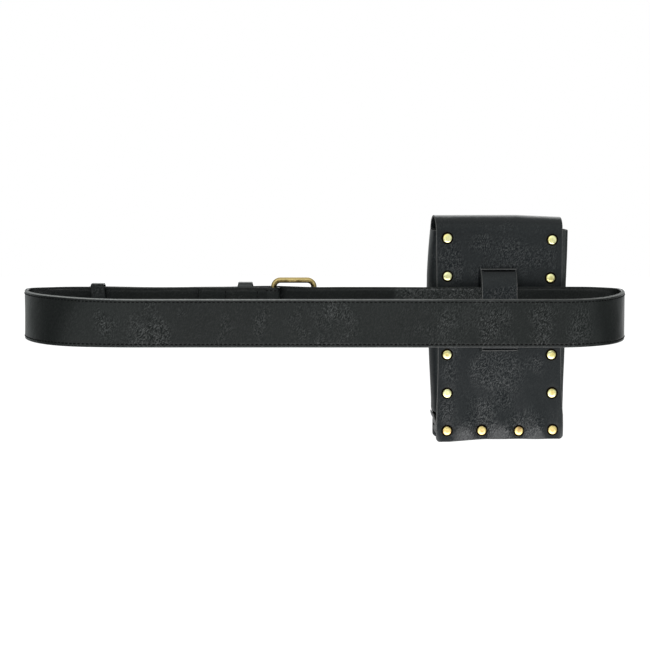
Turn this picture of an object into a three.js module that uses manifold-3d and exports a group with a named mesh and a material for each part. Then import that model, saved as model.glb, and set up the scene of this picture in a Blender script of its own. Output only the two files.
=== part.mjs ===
// Hip bag: a riveted leather pouch with a long flap, carried on a buckled waist belt.
// Millimetres, +Z up. The origin is the middle of the belt's loop, halfway up it, where the waist goes in.
// +X runs along the loop's long way. +Y is the buckle side, and the pouch hangs outside the belt there.
import * as THREE from "three";
import { mergeVertices } from "three/addons/utils/BufferGeometryUtils.js";
import Module from "manifold-3d";

const wasm = await Module();
wasm.setup();

// Driving dimensions

const GAP = 0.3; // left between pieces that lie on each other
const LEATHER = 1.6; // pouch, belt loop and keepers

const BELT = { width: 38, thick: 3, skived: 2, edge: 1, edgeShare: 0.4, skiveEnds: 75, fullFrom: 90 };
const RING_TILT = 0.0115; // rise of the belt's ring towards the buckle side, per millimetre
const LOOP_BACK_Y = -49.9; // middle of the belt across the back
// Each end of the loop is two quarter ellipses that meet at its furthest point.
// Round an end the belt's upper edge leans towards the buckle side, until `fade` degrees from that point.
const LOOP_ENDS = {
  left: { sign: -1, farX: 242.7, farY: 25, frontReach: 40, frontY: 49, backReach: 95, lean: 9, fade: 88 },
  right: { sign: 1, farX: 243.2, farY: 21, frontReach: 31.5, frontY: 48.5, backReach: 58, lean: 6, fade: 68 },
};
const LEAN_TURN = { back: 50, front: 60 }; // degrees over which the lean eases off
const LEAN_OUT = 0.14; // share of the lean that also goes outwards along the loop's long way
const BUCKLE_BAR = { x: -41.5, y: 43.8 };
const BUCKLE = { width: 37.8, height: 54.4, wire: 4.6, corner: 5.5, sides: 8 };
const PRONG = { radius: 1.5, eyeHalf: 2, eyeWall: 1.7, tipPast: 2.6, slotHalf: 3, slotReach: 5.4 };
const FOLD_RADIUS = BUCKLE.wire / 2 + 0.5 + BELT.skived / 2; // the belt's fold about the buckle bar

// Middle of the belt's thickness: the end folded back behind the buckle, up to the fold.
const FOLDED_END = [
  { place: "end of the fold", x: -104, y: 40.4 },
  { place: "short of its end", x: -89, y: 41.8 },
  { place: "past the fixed keeper", x: -77, y: 41.1 },
  { place: "beside the fixed keeper", x: -55, y: 40.9 },
  { place: "start of the fold", x: -47, y: 40.3 },
];
// From the fold to the left end.
const FRONT_LEFT = [
  { place: "leaving the fold", x: -49, y: 46.7 },
  { place: "fixed keeper", x: -65, y: 46 },
  { place: "past the fixed keeper", x: -76, y: 45.7 },
  { place: "short of the dip", x: -100, y: 43.6 },
  { place: "dip between the keepers", x: -138, y: 40.4 },
  { place: "sliding keeper", x: -185, y: 47.6 },
];
// From the right end, behind the pouch and through the buckle, where it rides up a little, to the tip.
const FRONT_RIGHT = [
  { place: "right edge of the pouch", x: 198, y: 48.5 },
  { place: "middle of the pouch", x: 146, y: 46.3 },
  { place: "left edge of the pouch", x: 94, y: 44.4 },
  { place: "between pouch and buckle", x: 54, y: 45.8 },
  { place: "short of the buckle", x: 15, y: 41.2, lift: 0.5 },
  { place: "inside the outer bar", x: -8, y: 39.6, lift: 0.6 },
  { place: "through the window", x: -25, y: 44.8, lift: 0.6 },
  { place: "over the folded end", x: -42, y: 50.5, lift: 0.6 },
  { place: "fixed keeper", x: -65, y: 50.4, lift: 0.3 },
  { place: "past the fixed keeper", x: -76, y: 49.8 },
  { place: "short of the dip", x: -100, y: 47.6 },
  { place: "dip between the keepers", x: -138, y: 44.4 },
  { place: "sliding keeper", x: -185, y: 51.6 },
  { place: "tip", x: -216, y: 53.4 },
];
const TIP = { length: 24, narrowest: 4, rows: [18, 12, 7, 3, 1] };
const BELT_HOLES = { radius: 2, pitch: 25, first: 17, count: 2, last: -83, lastCount: 2 };

const KEEPERS = [
  { name: "fixed_keeper", x: -65.2, wide: 13.2, inner: 43.1, outer: 53.4, high: 44.4, lean: 0 },
  { name: "sliding_keeper", x: -185.5, wide: 11.4, inner: 43.8, outer: 55.2, high: 42, lean: 6.5 },
];
const KEEPER_CORNER = 2.2;

// The pouch has its own frame: y = 0 is the outside of the back panel, and +y goes to the flap.
const POUCH = { x: 146.4, y: 50.9, yaw: 2.5, lean: -0.0095, depth: 30, bottom: -109.2, mouth: 66.2 };
// Half the width of the panels by height: drawn in at the belt, and spread at the bottom.
const PANEL_HALF = [
  { z: POUCH.mouth, half: 52.7 },
  { z: 20, half: 52.4 },
  { z: -33, half: 51.6 },
  { z: -65, half: 52.2 },
  { z: -90, half: 53.4 },
  { z: POUCH.bottom, half: 53.7 },
];
const ARCH_HEIGHT = 11.2; // of the flap's roll above the mouth, to the middle of the leather
const CORNER = 3.8; // rounding of the panels' lower corners
const HEM_WAVE = { height: 1, turn: 2.6, start: 0.5, fade: 48 }; // the uneven cut of the lower edge
const ROLL_DROP = { from: 0.3, drop: 1.7 }; // the roll slopes down over its right end
const FLAP = { space: 2.9, end: -96, corner: 10, flare: 1.6, crown: 2.4 };
const FRONT_CROWN = 1.6; // swell of the front panel inside its flat border
const CROWN_SHARE = 0.74; // share of the half width that swells

const RIVET = { cap: 3.9, dome: 2, domeEdge: 0.8, post: 1.5, hole: 1.9, sides: 10 };
const RIVET_WASHER = { radius: 2.8, high: 0.9 };
// The rivets in the two columns, set by hand and a little uneven, and the two between the columns' lowest.
const RIVET_ROWS = [
  { leftX: -43.4, leftZ: 59.9, rightX: 44, rightZ: 58.3 },
  { leftX: -43.4, leftZ: 28.2, rightX: 42.7, rightZ: 26.4 },
  { leftX: -43.6, leftZ: -4.6, rightX: 43.1, rightZ: -5.6 },
  { leftX: -43.9, leftZ: -37.4, rightX: 43.6, rightZ: -37.9 },
  { leftX: -44, leftZ: -70, rightX: 44.2, rightZ: -70.3 },
  { leftX: -44.2, leftZ: -101.7, rightX: 44.8, rightZ: -101.5 },
];
const RIVET_PAIR = { leftX: -14.9, leftZ: -101.6, rightX: 16.3, rightZ: -102.1 };

// Swell of the side gussets outside the panels' edges, by height, on each side of the bag.
// Their lower ends are tucked in behind the turned-up ends of the bottom gusset.
const GUSSET_SWELL = [
  { z: POUCH.mouth, left: 3.8, right: 7.3 },
  { z: 48, left: 5.6, right: 6.7 },
  { z: 20, left: 7.2, right: 5.7 },
  { z: -34, left: 6.5, right: 5.5 },
  { z: -61, left: 4.9, right: 4 },
  { z: -79, left: 3.2, right: 3 },
  { z: -87.4, left: -0.4, right: 0.2, tuck: 1.9 },
  { z: -93.5, left: -0.4, right: 0.2, tuck: 2 },
];
// The gusset's section as shares of the pouch's depth and of the swell, from back to front.
const GUSSET_SECTION = [
  { deep: 0.14, out: 0.35 },
  { deep: 0.3, out: 0.82 },
  { deep: 0.5, out: 1 },
  { deep: 0.7, out: 0.82 },
  { deep: 0.86, out: 0.35 },
];
const GUSSET = { inset: 1, flange: 16, turn: 1.2 };
const BOTTOM = { above: 2.8, upturn: -88, corner: 5, clear: 0.55, shift: 0.45 };
const BOTTOM_FLANGE = { top: -94.6, half: 47.5 };

// The strip that holds the pouch on the belt: how far its middle stands off the back panel, by height.
const BELT_LOOP = { width: 29.5, slip: 1.2 }; // its lower end is sewn on a little to the right
const BELT_LOOP_RISE = [
  { z: 34.4, off: 1.1 },
  { z: 27.5, off: 1.1 },
  { z: 24.6, off: 2.2 },
  { z: 21.9, off: 5.6 },
  { z: 19.4, off: 7.4 },
  { z: 15, off: 7.8 },
  { z: 0, off: 7.9 },
];
const SNAP = { z: -74, cap: 6, dome: 2.2, post: 2, washer: 5, sides: 12 };

const blackLeather = new THREE.MeshStandardMaterial({ color: 0x26282a, roughness: 0.5, metalness: 0 });
const paleBrass = new THREE.MeshStandardMaterial({ color: 0xd8c078, roughness: 0.28, metalness: 1 });
const agedBrass = new THREE.MeshStandardMaterial({ color: 0x9a7a3c, roughness: 0.38, metalness: 1 });

// Shape helpers

const v3 = (x, y, z) => new THREE.Vector3(x, y, z);
const lerp = THREE.MathUtils.lerp;

// The value of a table's column at a height, between rows ordered from the top down.
function atHeight(table, column, z) {
  const below = table.findIndex((row) => row.z <= z);
  if (below === 0) return table[0][column];
  if (below < 0) return table[table.length - 1][column];
  const [a, b] = [table[below - 1], table[below]];
  return lerp(a[column], b[column], (a.z - z) / (a.z - b.z));
}

// A smooth run through control points, with a station at each of them and at most `step` apart.
function smoothRun(points, step) {
  const curve = new THREE.CatmullRomCurve3(points, false, "centripetal");
  const spans = points.length - 1;
  const run = [points[0].clone()];
  for (let i = 0; i < spans; i++) {
    const parts = Math.ceil(points[i].distanceTo(points[i + 1]) / step);
    for (let k = 1; k <= parts; k++) run.push(curve.getPoint((i + k / parts) / spans));
  }
  return run;
}

// Normals of a flat run, lengthened at bends so that a wall offset by them keeps its thickness.
// `up` is the axis that the run's plane is square to.
function mitres(run, up, closed = false) {
  const last = run.length - 1;
  const side = (i, j) => run[j].clone().sub(run[i]).normalize().cross(up);
  return run.map((_, i) => {
    const before = i > 0 ? side(i - 1, i) : closed ? side(last, 0) : null;
    const after = i < last ? side(i, i + 1) : closed ? side(last, 0) : null;
    if (!before || !after) return before ?? after;
    const middle = before.clone().add(after).normalize();
    return middle.multiplyScalar(1 / Math.max(0.5, middle.dot(after)));
  });
}

// A closed wall from rows of stations, each with a point in mid-thickness, a normal and a thickness.
function wall(rows, loop = false) {
  const across = rows[0].length;
  const position = [];
  for (const row of rows)
    for (const { point, normal, thick } of row)
      for (const half of [0.5, -0.5]) position.push(...point.clone().addScaledVector(normal, half * thick));
  const vertex = (r, c, face) => 2 * ((r % rows.length) * across + c) + face;
  const index = [];
  const quad = (a, b, c, d) => index.push(a, b, c, a, c, d);
  const end = across - 1;
  for (let r = 0; r < (loop ? rows.length : rows.length - 1); r++) {
    for (let c = 0; c < end; c++) {
      quad(vertex(r, c, 0), vertex(r + 1, c, 0), vertex(r + 1, c + 1, 0), vertex(r, c + 1, 0));
      quad(vertex(r, c, 1), vertex(r, c + 1, 1), vertex(r + 1, c + 1, 1), vertex(r + 1, c, 1));
    }
    quad(vertex(r, 0, 1), vertex(r + 1, 0, 1), vertex(r + 1, 0, 0), vertex(r, 0, 0));
    quad(vertex(r, end, 0), vertex(r + 1, end, 0), vertex(r + 1, end, 1), vertex(r, end, 1));
  }
  const bottom = rows.length - 1;
  for (let c = 0; c < end && !loop; c++) {
    quad(vertex(0, c, 0), vertex(0, c + 1, 0), vertex(0, c + 1, 1), vertex(0, c, 1));
    quad(vertex(bottom, c, 0), vertex(bottom, c, 1), vertex(bottom, c + 1, 1), vertex(bottom, c + 1, 0));
  }
  return new THREE.BufferGeometry()
    .setAttribute("position", new THREE.Float32BufferAttribute(position, 3))
    .setIndex(index);
}

// A closed ring of wire: a round section carried along a flat loop.
function wireLoop(path, up, radius, sides) {
  const outward = mitres(path, up, true);
  const rows = Array.from({ length: sides }, (_, k) => {
    const angle = (2 * Math.PI * k) / sides;
    return path.map((point, i) =>
      point
        .clone()
        .addScaledVector(outward[i], radius * Math.cos(angle))
        .addScaledVector(up, radius * Math.sin(angle)),
    );
  });
  const index = [];
  const vertex = (k, i) => (k % sides) * path.length + (i % path.length);
  for (let k = 0; k < sides; k++)
    for (let i = 0; i < path.length; i++) {
      index.push(vertex(k, i), vertex(k, i + 1), vertex(k + 1, i + 1));
      index.push(vertex(k, i), vertex(k + 1, i + 1), vertex(k + 1, i));
    }
  return new THREE.BufferGeometry()
    .setAttribute("position", new THREE.Float32BufferAttribute(rows.flat().flatMap((p) => [...p]), 3))
    .setIndex(index);
}

// The same geometry with shared vertices, no empty triangles, and its faces pointing out.
function tidied(geometry) {
  const bare = new THREE.BufferGeometry().setAttribute("position", geometry.getAttribute("position"));
  bare.setIndex(geometry.index);
  const merged = mergeVertices(bare, 1e-4);
  const [a, b, c] = [v3(), v3(), v3()];
  const position = merged.getAttribute("position");
  let index = [];
  let volume = 0;
  for (let i = 0; i < merged.index.count; i += 3) {
    const corners = [0, 1, 2].map((k) => merged.index.getX(i + k));
    if (new Set(corners).size < 3) continue;
    index.push(...corners);
    [a, b, c].forEach((corner, k) => corner.fromBufferAttribute(position, corners[k]));
    volume += a.dot(b.cross(c)) / 6;
  }
  if (volume < 0) index = index.reverse();
  return merged.setIndex(index);
}

function solid(geometry) {
  const clean = tidied(geometry);
  return new wasm.Manifold(
    new wasm.Mesh({
      numProp: 3,
      vertProperties: new Float32Array(clean.getAttribute("position").array),
      triVerts: new Uint32Array(clean.index.array),
    }),
  );
}

function fromSolid(made) {
  const { vertProperties, triVerts } = made.getMesh();
  return new THREE.BufferGeometry()
    .setAttribute("position", new THREE.BufferAttribute(vertProperties, 3))
    .setIndex(new THREE.BufferAttribute(triVerts, 1));
}

const cut = (geometry, cutters) =>
  fromSolid(cutters.reduce((rest, cutter) => rest.subtract(solid(cutter)), solid(geometry)));
const joined = (geometries) => fromSolid(geometries.map(solid).reduce((all, next) => all.add(next)));

function piece(name, geometry, material) {
  const mesh = new THREE.Mesh(tidied(geometry), material);
  mesh.geometry.computeVertexNormals();
  mesh.name = name;
  return mesh;
}

const UP = v3(0, 0, 1);

// Belt

function quarterTurn(centre, reachX, reachY, from, to, parts) {
  return Array.from({ length: parts + 1 }, (_, i) => {
    const angle = THREE.MathUtils.degToRad(lerp(from, to, i / parts));
    return v3(centre.x + reachX * Math.cos(angle), centre.y + reachY * Math.sin(angle), 0);
  });
}

// One end of the loop, from its front stretch round to its back stretch.
function loopEnd({ sign, farX, farY, frontReach, frontY, backReach }, parts = 7) {
  const far = sign > 0 ? 0 : 180;
  const front = v3(sign * (farX - frontReach), farY, 0);
  const back = v3(sign * (farX - backReach), farY, 0);
  const first = quarterTurn(front, frontReach, frontY - farY, 90, far, parts);
  const second = quarterTurn(back, backReach, farY - LOOP_BACK_Y, far, sign > 0 ? -90 : 270, parts);
  return [...first, ...second.slice(1)];
}

const places = (table) => table.map(({ x, y, lift = 0 }) => v3(x, y, lift));
const rise = (y) => RING_TILT * y;

// How far the belt's upper edge leans over its middle, and its lower edge the other way, round the loop's ends.
function ringLean({ x, y }) {
  const { sign, farX, farY, frontReach, backReach, lean, fade } = x < 0 ? LOOP_ENDS.left : LOOP_ENDS.right;
  const reach = y < farY ? backReach : frontReach;
  const turn = Math.acos(THREE.MathUtils.clamp((sign * x - farX + reach) / reach, 0, 1));
  const [from, over] = y < farY ? [fade, LEAN_TURN.back] : [LEAN_TURN.front, LEAN_TURN.front];
  return lean * THREE.MathUtils.smoothstep((from - THREE.MathUtils.radToDeg(turn)) / over, 0, 1);
}

function beltRun() {
  const foldCentre = v3(BUCKLE_BAR.x, BUCKLE_BAR.y, 0);
  const fold = quarterTurn(foldCentre, FOLD_RADIUS, FOLD_RADIUS, -90, 90, 6);
  const controls = [
    ...places(FOLDED_END),
    ...fold,
    ...places(FRONT_LEFT),
    ...loopEnd(LOOP_ENDS.left),
    ...loopEnd(LOOP_ENDS.right).reverse(),
    ...places(FRONT_RIGHT),
  ];
  const run = smoothRun(controls, 30);
  const tip = run.pop();
  const inward = run[run.length - 1].clone().sub(tip).normalize();
  run.push(tip.clone().addScaledVector(inward, TIP.length));
  for (const short of TIP.rows) run.push(tip.clone().addScaledVector(inward, short));
  run.push(tip);
  for (const point of run) point.z += rise(point.y);
  return run;
}

// Half the belt's width, which rounds off over the tip.
function beltHalfWidth(toTip) {
  if (toTip >= TIP.length) return BELT.width / 2;
  const share = 1 - toTip / TIP.length;
  return Math.max(TIP.narrowest, (BELT.width / 2) * Math.sqrt(1 - share * share));
}

function beltStrap() {
  const run = beltRun();
  const normals = mitres(run, UP);
  const lengths = run.map((point, i) => (i ? point.distanceTo(run[i - 1]) : 0));
  const total = lengths.reduce((a, b) => a + b);
  let along = 0;
  const rows = run.map((point, i) => {
    along += lengths[i];
    const full = THREE.MathUtils.clamp((along - BELT.skiveEnds) / (BELT.fullFrom - BELT.skiveEnds), 0, 1);
    const thick = lerp(BELT.skived, BELT.thick, full);
    const half = beltHalfWidth(total - along);
    const columns = [
      { z: -half, share: BELT.edgeShare },
      { z: BELT.edge - half, share: 1 },
      { z: half - BELT.edge, share: 1 },
      { z: half, share: BELT.edgeShare },
    ];
    const lean = ringLean(point) / (BELT.width / 2);
    const leanOut = LEAN_OUT * Math.sign(point.x) * lean;
    return columns.map(({ z, share }) => ({
      point: v3(point.x + leanOut * z, point.y + lean * z, point.z + z),
      normal: normals[i],
      thick: thick * share,
    }));
  });
  const slotEnd = BUCKLE_BAR.x + FOLD_RADIUS + BELT.skived;
  const slotFront = BUCKLE_BAR.y + FOLD_RADIUS + BELT.skived / 2 + GAP / 2;
  const slotBack = BUCKLE_BAR.y - 2 * FOLD_RADIUS;
  const slotLong = PRONG.slotReach + slotEnd - BUCKLE_BAR.x;
  const prongSlot = new THREE.BoxGeometry(slotLong, slotFront - slotBack, 2 * PRONG.slotHalf).translate(
    slotEnd - slotLong / 2,
    (slotFront + slotBack) / 2,
    rise(BUCKLE_BAR.y),
  );
  return cut(wall(rows), [prongSlot, prongRod(2 * GAP), ...beltHoleCutters()]);
}

// The punched holes on both sides of the one that the prong is in.
function beltHoleCutters() {
  const { radius, pitch, first, count, last, lastCount } = BELT_HOLES;
  const across = [
    ...Array.from({ length: count }, (_, i) => first + i * pitch),
    ...Array.from({ length: lastCount }, (_, i) => last - i * pitch),
  ];
  return across.map((x) => {
    const near = FRONT_RIGHT.reduce((a, b) => (Math.abs(b.x - x) < Math.abs(a.x - x) ? b : a));
    return new THREE.CylinderGeometry(radius, radius, 2.6 * BELT.thick, 8).translate(x, near.y, rise(near.y));
  });
}

// Buckle

function buckleFrame() {
  const { width, height, wire, corner, sides } = BUCKLE;
  const centre = v3(BUCKLE_BAR.x + (width - wire) / 2, BUCKLE_BAR.y, rise(BUCKLE_BAR.y));
  const halfX = (width - wire) / 2 - corner;
  const halfZ = (height - wire) / 2 - corner;
  const corners = [
    { x: halfX, z: halfZ, from: 0 },
    { x: -halfX, z: halfZ, from: 90 },
    { x: -halfX, z: -halfZ, from: 180 },
    { x: halfX, z: -halfZ, from: 270 },
  ];
  const path = corners.flatMap(({ x, z, from }) =>
    [0, 30, 60, 90].map((turn) => {
      const angle = THREE.MathUtils.degToRad(from + turn);
      return v3(centre.x + x + corner * Math.cos(angle), centre.y, centre.z + z + corner * Math.sin(angle));
    }),
  );
  return wireLoop(path, v3(0, 1, 0), wire / 2, sides);
}

// The prong's rod, from the bar it turns on to its rest on the outer bar, grown by `extra` to cut its hole.
function prongRod(extra = 0) {
  const start = v3(BUCKLE_BAR.x, BUCKLE_BAR.y, rise(BUCKLE_BAR.y));
  const outerBar = start.x + BUCKLE.width - BUCKLE.wire;
  const tip = v3(outerBar + PRONG.tipPast, start.y + BUCKLE.wire / 2 + PRONG.radius + GAP + 0.6, start.z);
  const along = tip.clone().sub(start);
  const length = along.length() - BUCKLE.wire / 2 - GAP - PRONG.eyeWall / 2;
  return new THREE.CylinderGeometry(PRONG.radius + extra, PRONG.radius + extra, length, 8)
    .applyQuaternion(new THREE.Quaternion().setFromUnitVectors(v3(0, 1, 0), along.clone().normalize()))
    .translate(...tip.addScaledVector(along.normalize(), -length / 2));
}

function buckleProng() {
  const inner = BUCKLE.wire / 2 + GAP;
  const outer = inner + PRONG.eyeWall;
  const section = [
    [inner, -PRONG.eyeHalf],
    [outer, -PRONG.eyeHalf],
    [outer, PRONG.eyeHalf],
    [inner, PRONG.eyeHalf],
    [inner, -PRONG.eyeHalf],
  ].map(([r, z]) => new THREE.Vector2(r, z));
  const eye = new THREE.LatheGeometry(section, 12)
    .rotateX(Math.PI / 2)
    .translate(BUCKLE_BAR.x, BUCKLE_BAR.y, rise(BUCKLE_BAR.y));
  return joined([eye, prongRod()]);
}

// A keeper is a flat band round the belt.
function keeperBand({ x, wide, inner, outer, high, lean }) {
  const corner = KEEPER_CORNER;
  const [midY, halfY] = [(inner + outer) / 2, (outer - inner) / 2 - corner];
  const halfZ = high / 2 - corner;
  const turns = [
    { y: halfY, z: halfZ, from: 0 },
    { y: -halfY, z: halfZ, from: 90 },
    { y: -halfY, z: -halfZ, from: 180 },
    { y: halfY, z: -halfZ, from: 270 },
  ];
  const path = turns.flatMap(({ y, z, from }) =>
    [0, 45, 90].map((turn) => {
      const angle = THREE.MathUtils.degToRad(from + turn);
      return v3(0, midY + y + corner * Math.cos(angle), z + corner * Math.sin(angle));
    }),
  );
  const normals = mitres(path, v3(1, 0, 0), true);
  const rows = path.map((point, i) =>
    [-wide / 2, wide / 2].map((offset) => ({
      point: v3(x + offset - Math.tan(THREE.MathUtils.degToRad(lean)) * point.z, point.y, point.z + rise(midY)),
      normal: normals[i],
      thick: LEATHER,
    })),
  );
  return wall(rows, true);
}

// Pouch

const panelHalf = (z) => atHeight(PANEL_HALF, "half", z);
const rivetPlaces = [
  ...RIVET_ROWS.flatMap(({ leftX, leftZ, rightX, rightZ }, row) => [
    { name: `left_${row + 1}`, x: leftX, z: leftZ },
    { name: `right_${row + 1}`, x: rightX, z: rightZ },
  ]),
  { name: "lower_left", x: RIVET_PAIR.leftX, z: RIVET_PAIR.leftZ },
  { name: "lower_right", x: RIVET_PAIR.rightX, z: RIVET_PAIR.rightZ },
];

// How far a rounded corner draws the edge in, at a distance from the end of the sheet.
function cornerInset(fromEnd, radius) {
  if (fromEnd >= radius) return 0;
  return radius - Math.sqrt(radius * radius - (radius - fromEnd) ** 2);
}

// The uneven lower edge: how far a point of a panel drops, by its place across and its height.
function hemDrop(across, z) {
  const share = THREE.MathUtils.clamp((POUCH.bottom + HEM_WAVE.fade - z) / HEM_WAVE.fade, 0, 1);
  return share * HEM_WAVE.height * Math.sin(HEM_WAVE.turn * across + HEM_WAVE.start);
}

// The swell of a front sheet, which is flat in its border.
function crown(height, across, z) {
  const side = Math.min(1, Math.abs(across) / CROWN_SHARE);
  const tall = (z - POUCH.bottom) / (POUCH.mouth - POUCH.bottom);
  return height * (1 - side * side) ** 2 * Math.sin(Math.PI * THREE.MathUtils.clamp(tall, 0, 1));
}

const rollDrop = (across) => ROLL_DROP.drop * Math.max(0, (across - ROLL_DROP.from) / (1 - ROLL_DROP.from));

const ACROSS = [-1, -0.7, -0.35, 0, 0.35, 0.7, 1];
const CORNER_ROWS = [0, 0.12, 0.4, 1]; // shares of a corner's radius

function holeCutters(front, list) {
  const y = front ? POUCH.depth - LEATHER : LEATHER;
  return list.map(({ x, z }) =>
    new THREE.CylinderGeometry(RIVET.hole, RIVET.hole, 4 * LEATHER, 8).translate(x, y, z),
  );
}

// Back panel and flap are one sheet: up the back, over the mouth and down the front.
function backAndFlap() {
  const flapY = POUCH.depth + FLAP.space + LEATHER / 2;
  const backY = LEATHER / 2;
  const archY = (flapY - backY) / 2;
  const straight = [0.18, 0.4, 0.6, 0.8];
  const rising = POUCH.mouth - POUCH.bottom;
  const falling = POUCH.mouth - FLAP.end;
  const rows = [];
  for (const share of CORNER_ROWS)
    rows.push({ y: backY, z: POUCH.bottom + share * CORNER, toEnd: share * CORNER });
  for (const share of straight) rows.push({ y: backY, z: POUCH.bottom + share * rising });
  for (let turn = 0; turn <= 180; turn += 18) {
    const angle = THREE.MathUtils.degToRad(turn);
    rows.push({
      y: backY + archY * (1 - Math.cos(angle)),
      z: POUCH.mouth + ARCH_HEIGHT * Math.sin(angle),
      roll: Math.sin(angle),
      front: turn / 180,
    });
  }
  for (const share of straight) rows.push({ y: flapY, z: POUCH.mouth - share * falling, front: 1 });
  for (const share of [...CORNER_ROWS].reverse())
    rows.push({ y: flapY, z: FLAP.end + share * FLAP.corner, front: 1, toFlapEnd: share * FLAP.corner });
  const run = rows.map(({ y, z }) => v3(0, y, z));
  const normals = mitres(run, v3(1, 0, 0));
  const grid = rows.map(({ y, z, roll = 0, front = 0, toEnd = CORNER, toFlapEnd = FLAP.corner }, i) => {
    const inset = cornerInset(toEnd, CORNER) + cornerInset(toFlapEnd, FLAP.corner);
    const half = panelHalf(front ? POUCH.mouth : z) + FLAP.flare * front - inset;
    return ACROSS.map((across) => {
      const swell = front === 1 ? crown(FLAP.crown, across, z) : 0;
      const drop = front === 0 ? hemDrop(across, z) : 0;
      return {
        point: v3(across * half, y + swell, z + drop - roll * rollDrop(across)),
        normal: normals[i],
        thick: LEATHER,
      };
    });
  });
  return cut(wall(grid), [...holeCutters(false, rivetPlaces), snapHole()]);
}

function frontPanel() {
  const y = POUCH.depth - LEATHER / 2;
  const rising = POUCH.mouth - POUCH.bottom;
  const heights = [
    ...CORNER_ROWS.map((share) => share * CORNER),
    ...[0.16, 0.32, 0.5, 0.68, 0.84, 1].map((share) => share * rising),
  ];
  const grid = heights.map((up) => {
    const z = POUCH.bottom + up;
    const half = panelHalf(z) - cornerInset(up, CORNER);
    return ACROSS.map((across) => ({
      point: v3(across * half, y + crown(FRONT_CROWN, across, z), z + hemDrop(across, z)),
      normal: v3(0, 1, 0),
      thick: LEATHER,
    }));
  });
  return cut(wall(grid), [...holeCutters(true, rivetPlaces), snapHole()]);
}

const FLANGE_BACK = LEATHER + GAP + LEATHER / 2;
const FLANGE_FRONT = POUCH.depth - FLANGE_BACK;

// A side gusset: a flange behind each panel and a wall that swells out between them.
function sideGusset(side) {
  const sign = side === "left" ? -1 : 1;
  const rows = GUSSET_SWELL.map((row) => {
    const edge = panelHalf(row.z) - GUSSET.inset - (row.tuck ?? 0);
    const inside = edge - GUSSET.flange;
    const section = [
      v3(inside, FLANGE_BACK, row.z),
      v3(edge - GUSSET.turn, FLANGE_BACK, row.z),
      ...GUSSET_SECTION.map(({ deep, out }) => v3(edge + out * row[side], deep * POUCH.depth, row.z)),
      v3(edge - GUSSET.turn, FLANGE_FRONT, row.z),
      v3(inside, FLANGE_FRONT, row.z),
    ];
    const normals = mitres(section, UP);
    return section.map((point, i) => ({
      point: v3(sign * point.x, point.y, point.z),
      normal: v3(sign * normals[i].x, normals[i].y, 0),
      thick: LEATHER,
    }));
  });
  const mine = rivetPlaces.filter(({ x, z }) => Math.sign(x) === sign && z > GUSSET_SWELL.at(-1).z);
  return cut(wall(rows), [...holeCutters(false, mine), ...holeCutters(true, mine)]);
}

// The bottom gusset lies across the bottom and turns up outside the ends of the side gussets.
function bottomGusset() {
  const side = panelHalf(BOTTOM.upturn) - GUSSET.inset + BOTTOM.clear;
  const low = POUCH.bottom + BOTTOM.above;
  const turnUp = (sign) =>
    [0, 30, 60, 90].map((turn) => {
      const angle = THREE.MathUtils.degToRad(turn);
      const [x, z] = [side - BOTTOM.corner, low + BOTTOM.corner];
      return v3(sign * (x + BOTTOM.corner * Math.cos(angle)), 0, z - BOTTOM.corner * Math.sin(angle));
    });
  const ends = [v3(-side, 0, BOTTOM.upturn), v3(side, 0, BOTTOM.upturn)];
  const run = [ends[0], ...turnUp(-1), ...turnUp(1).reverse(), ends[1]];
  for (const point of run) point.x += BOTTOM.shift;
  const normals = mitres(run, v3(0, 1, 0));
  const faces = [FLANGE_BACK - LEATHER / 2, FLANGE_FRONT + LEATHER / 2];
  const strip = wall(
    run.map((point, i) =>
      faces.map((y) => ({ point: v3(point.x, y, point.z), normal: normals[i], thick: LEATHER })),
    ),
  );
  const tall = BOTTOM_FLANGE.top - low;
  const flanges = [FLANGE_BACK, FLANGE_FRONT].map((y) =>
    new THREE.BoxGeometry(2 * BOTTOM_FLANGE.half, LEATHER, tall).translate(0, y, low + tall / 2),
  );
  const lower = rivetPlaces.filter(({ z }) => z < BOTTOM_FLANGE.top);
  return cut(joined([strip, ...flanges]), [...holeCutters(false, lower), ...holeCutters(true, lower)]);
}

// A rivet's round profile runs from the washer inside the pouch to the dome outside, along -y.
function rivetShape() {
  const { cap, dome, domeEdge, post, sides } = RIVET;
  const seat = 2 * LEATHER + 2 * GAP;
  const profile = [
    [0, seat + RIVET_WASHER.high],
    [RIVET_WASHER.radius, seat],
    [post, seat],
    [post, -GAP],
    [cap, -GAP],
    [cap * domeEdge, -GAP - 0.75 * dome],
    [0, -GAP - dome],
  ].map(([r, y]) => new THREE.Vector2(r, y));
  return new THREE.LatheGeometry(profile, sides);
}

// The strip over the belt, sewn to the back panel at both ends.
function beltLoop() {
  const upper = BELT_LOOP_RISE.map(({ z, off }) => v3(0, -off, z));
  const lower = BELT_LOOP_RISE.slice(0, -1).map(({ z, off }) => v3(0, -off, -z));
  const run = smoothRun([...upper, ...lower.reverse()], 4);
  const normals = mitres(run, v3(1, 0, 0));
  const half = BELT_LOOP.width / 2;
  const rows = run.map(({ y, z }, i) => {
    const slip = BELT_LOOP.slip * Math.max(0, -z / BELT_LOOP_RISE[0].z);
    return [-half, half].map((x) => ({ point: v3(x + slip, y, z), normal: normals[i], thick: LEATHER }));
  });
  return wall(rows);
}

// The snap that shuts the flap on the front panel, in one plain piece.
function snapSeats() {
  const flapFace = POUCH.depth + FLAP.space + LEATHER + crown(FLAP.crown, 0, SNAP.z);
  const panelBack = POUCH.depth - LEATHER + crown(FRONT_CROWN, 0, SNAP.z);
  return { outside: flapFace + 2 * GAP, inside: panelBack - 2 * GAP };
}

function snapHole() {
  const { outside, inside } = snapSeats();
  const reach = outside - inside + 4 * LEATHER;
  const radius = SNAP.post + 2 * GAP;
  return new THREE.CylinderGeometry(radius, radius, reach, SNAP.sides).translate(
    0,
    (outside + inside) / 2,
    SNAP.z,
  );
}

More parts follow.
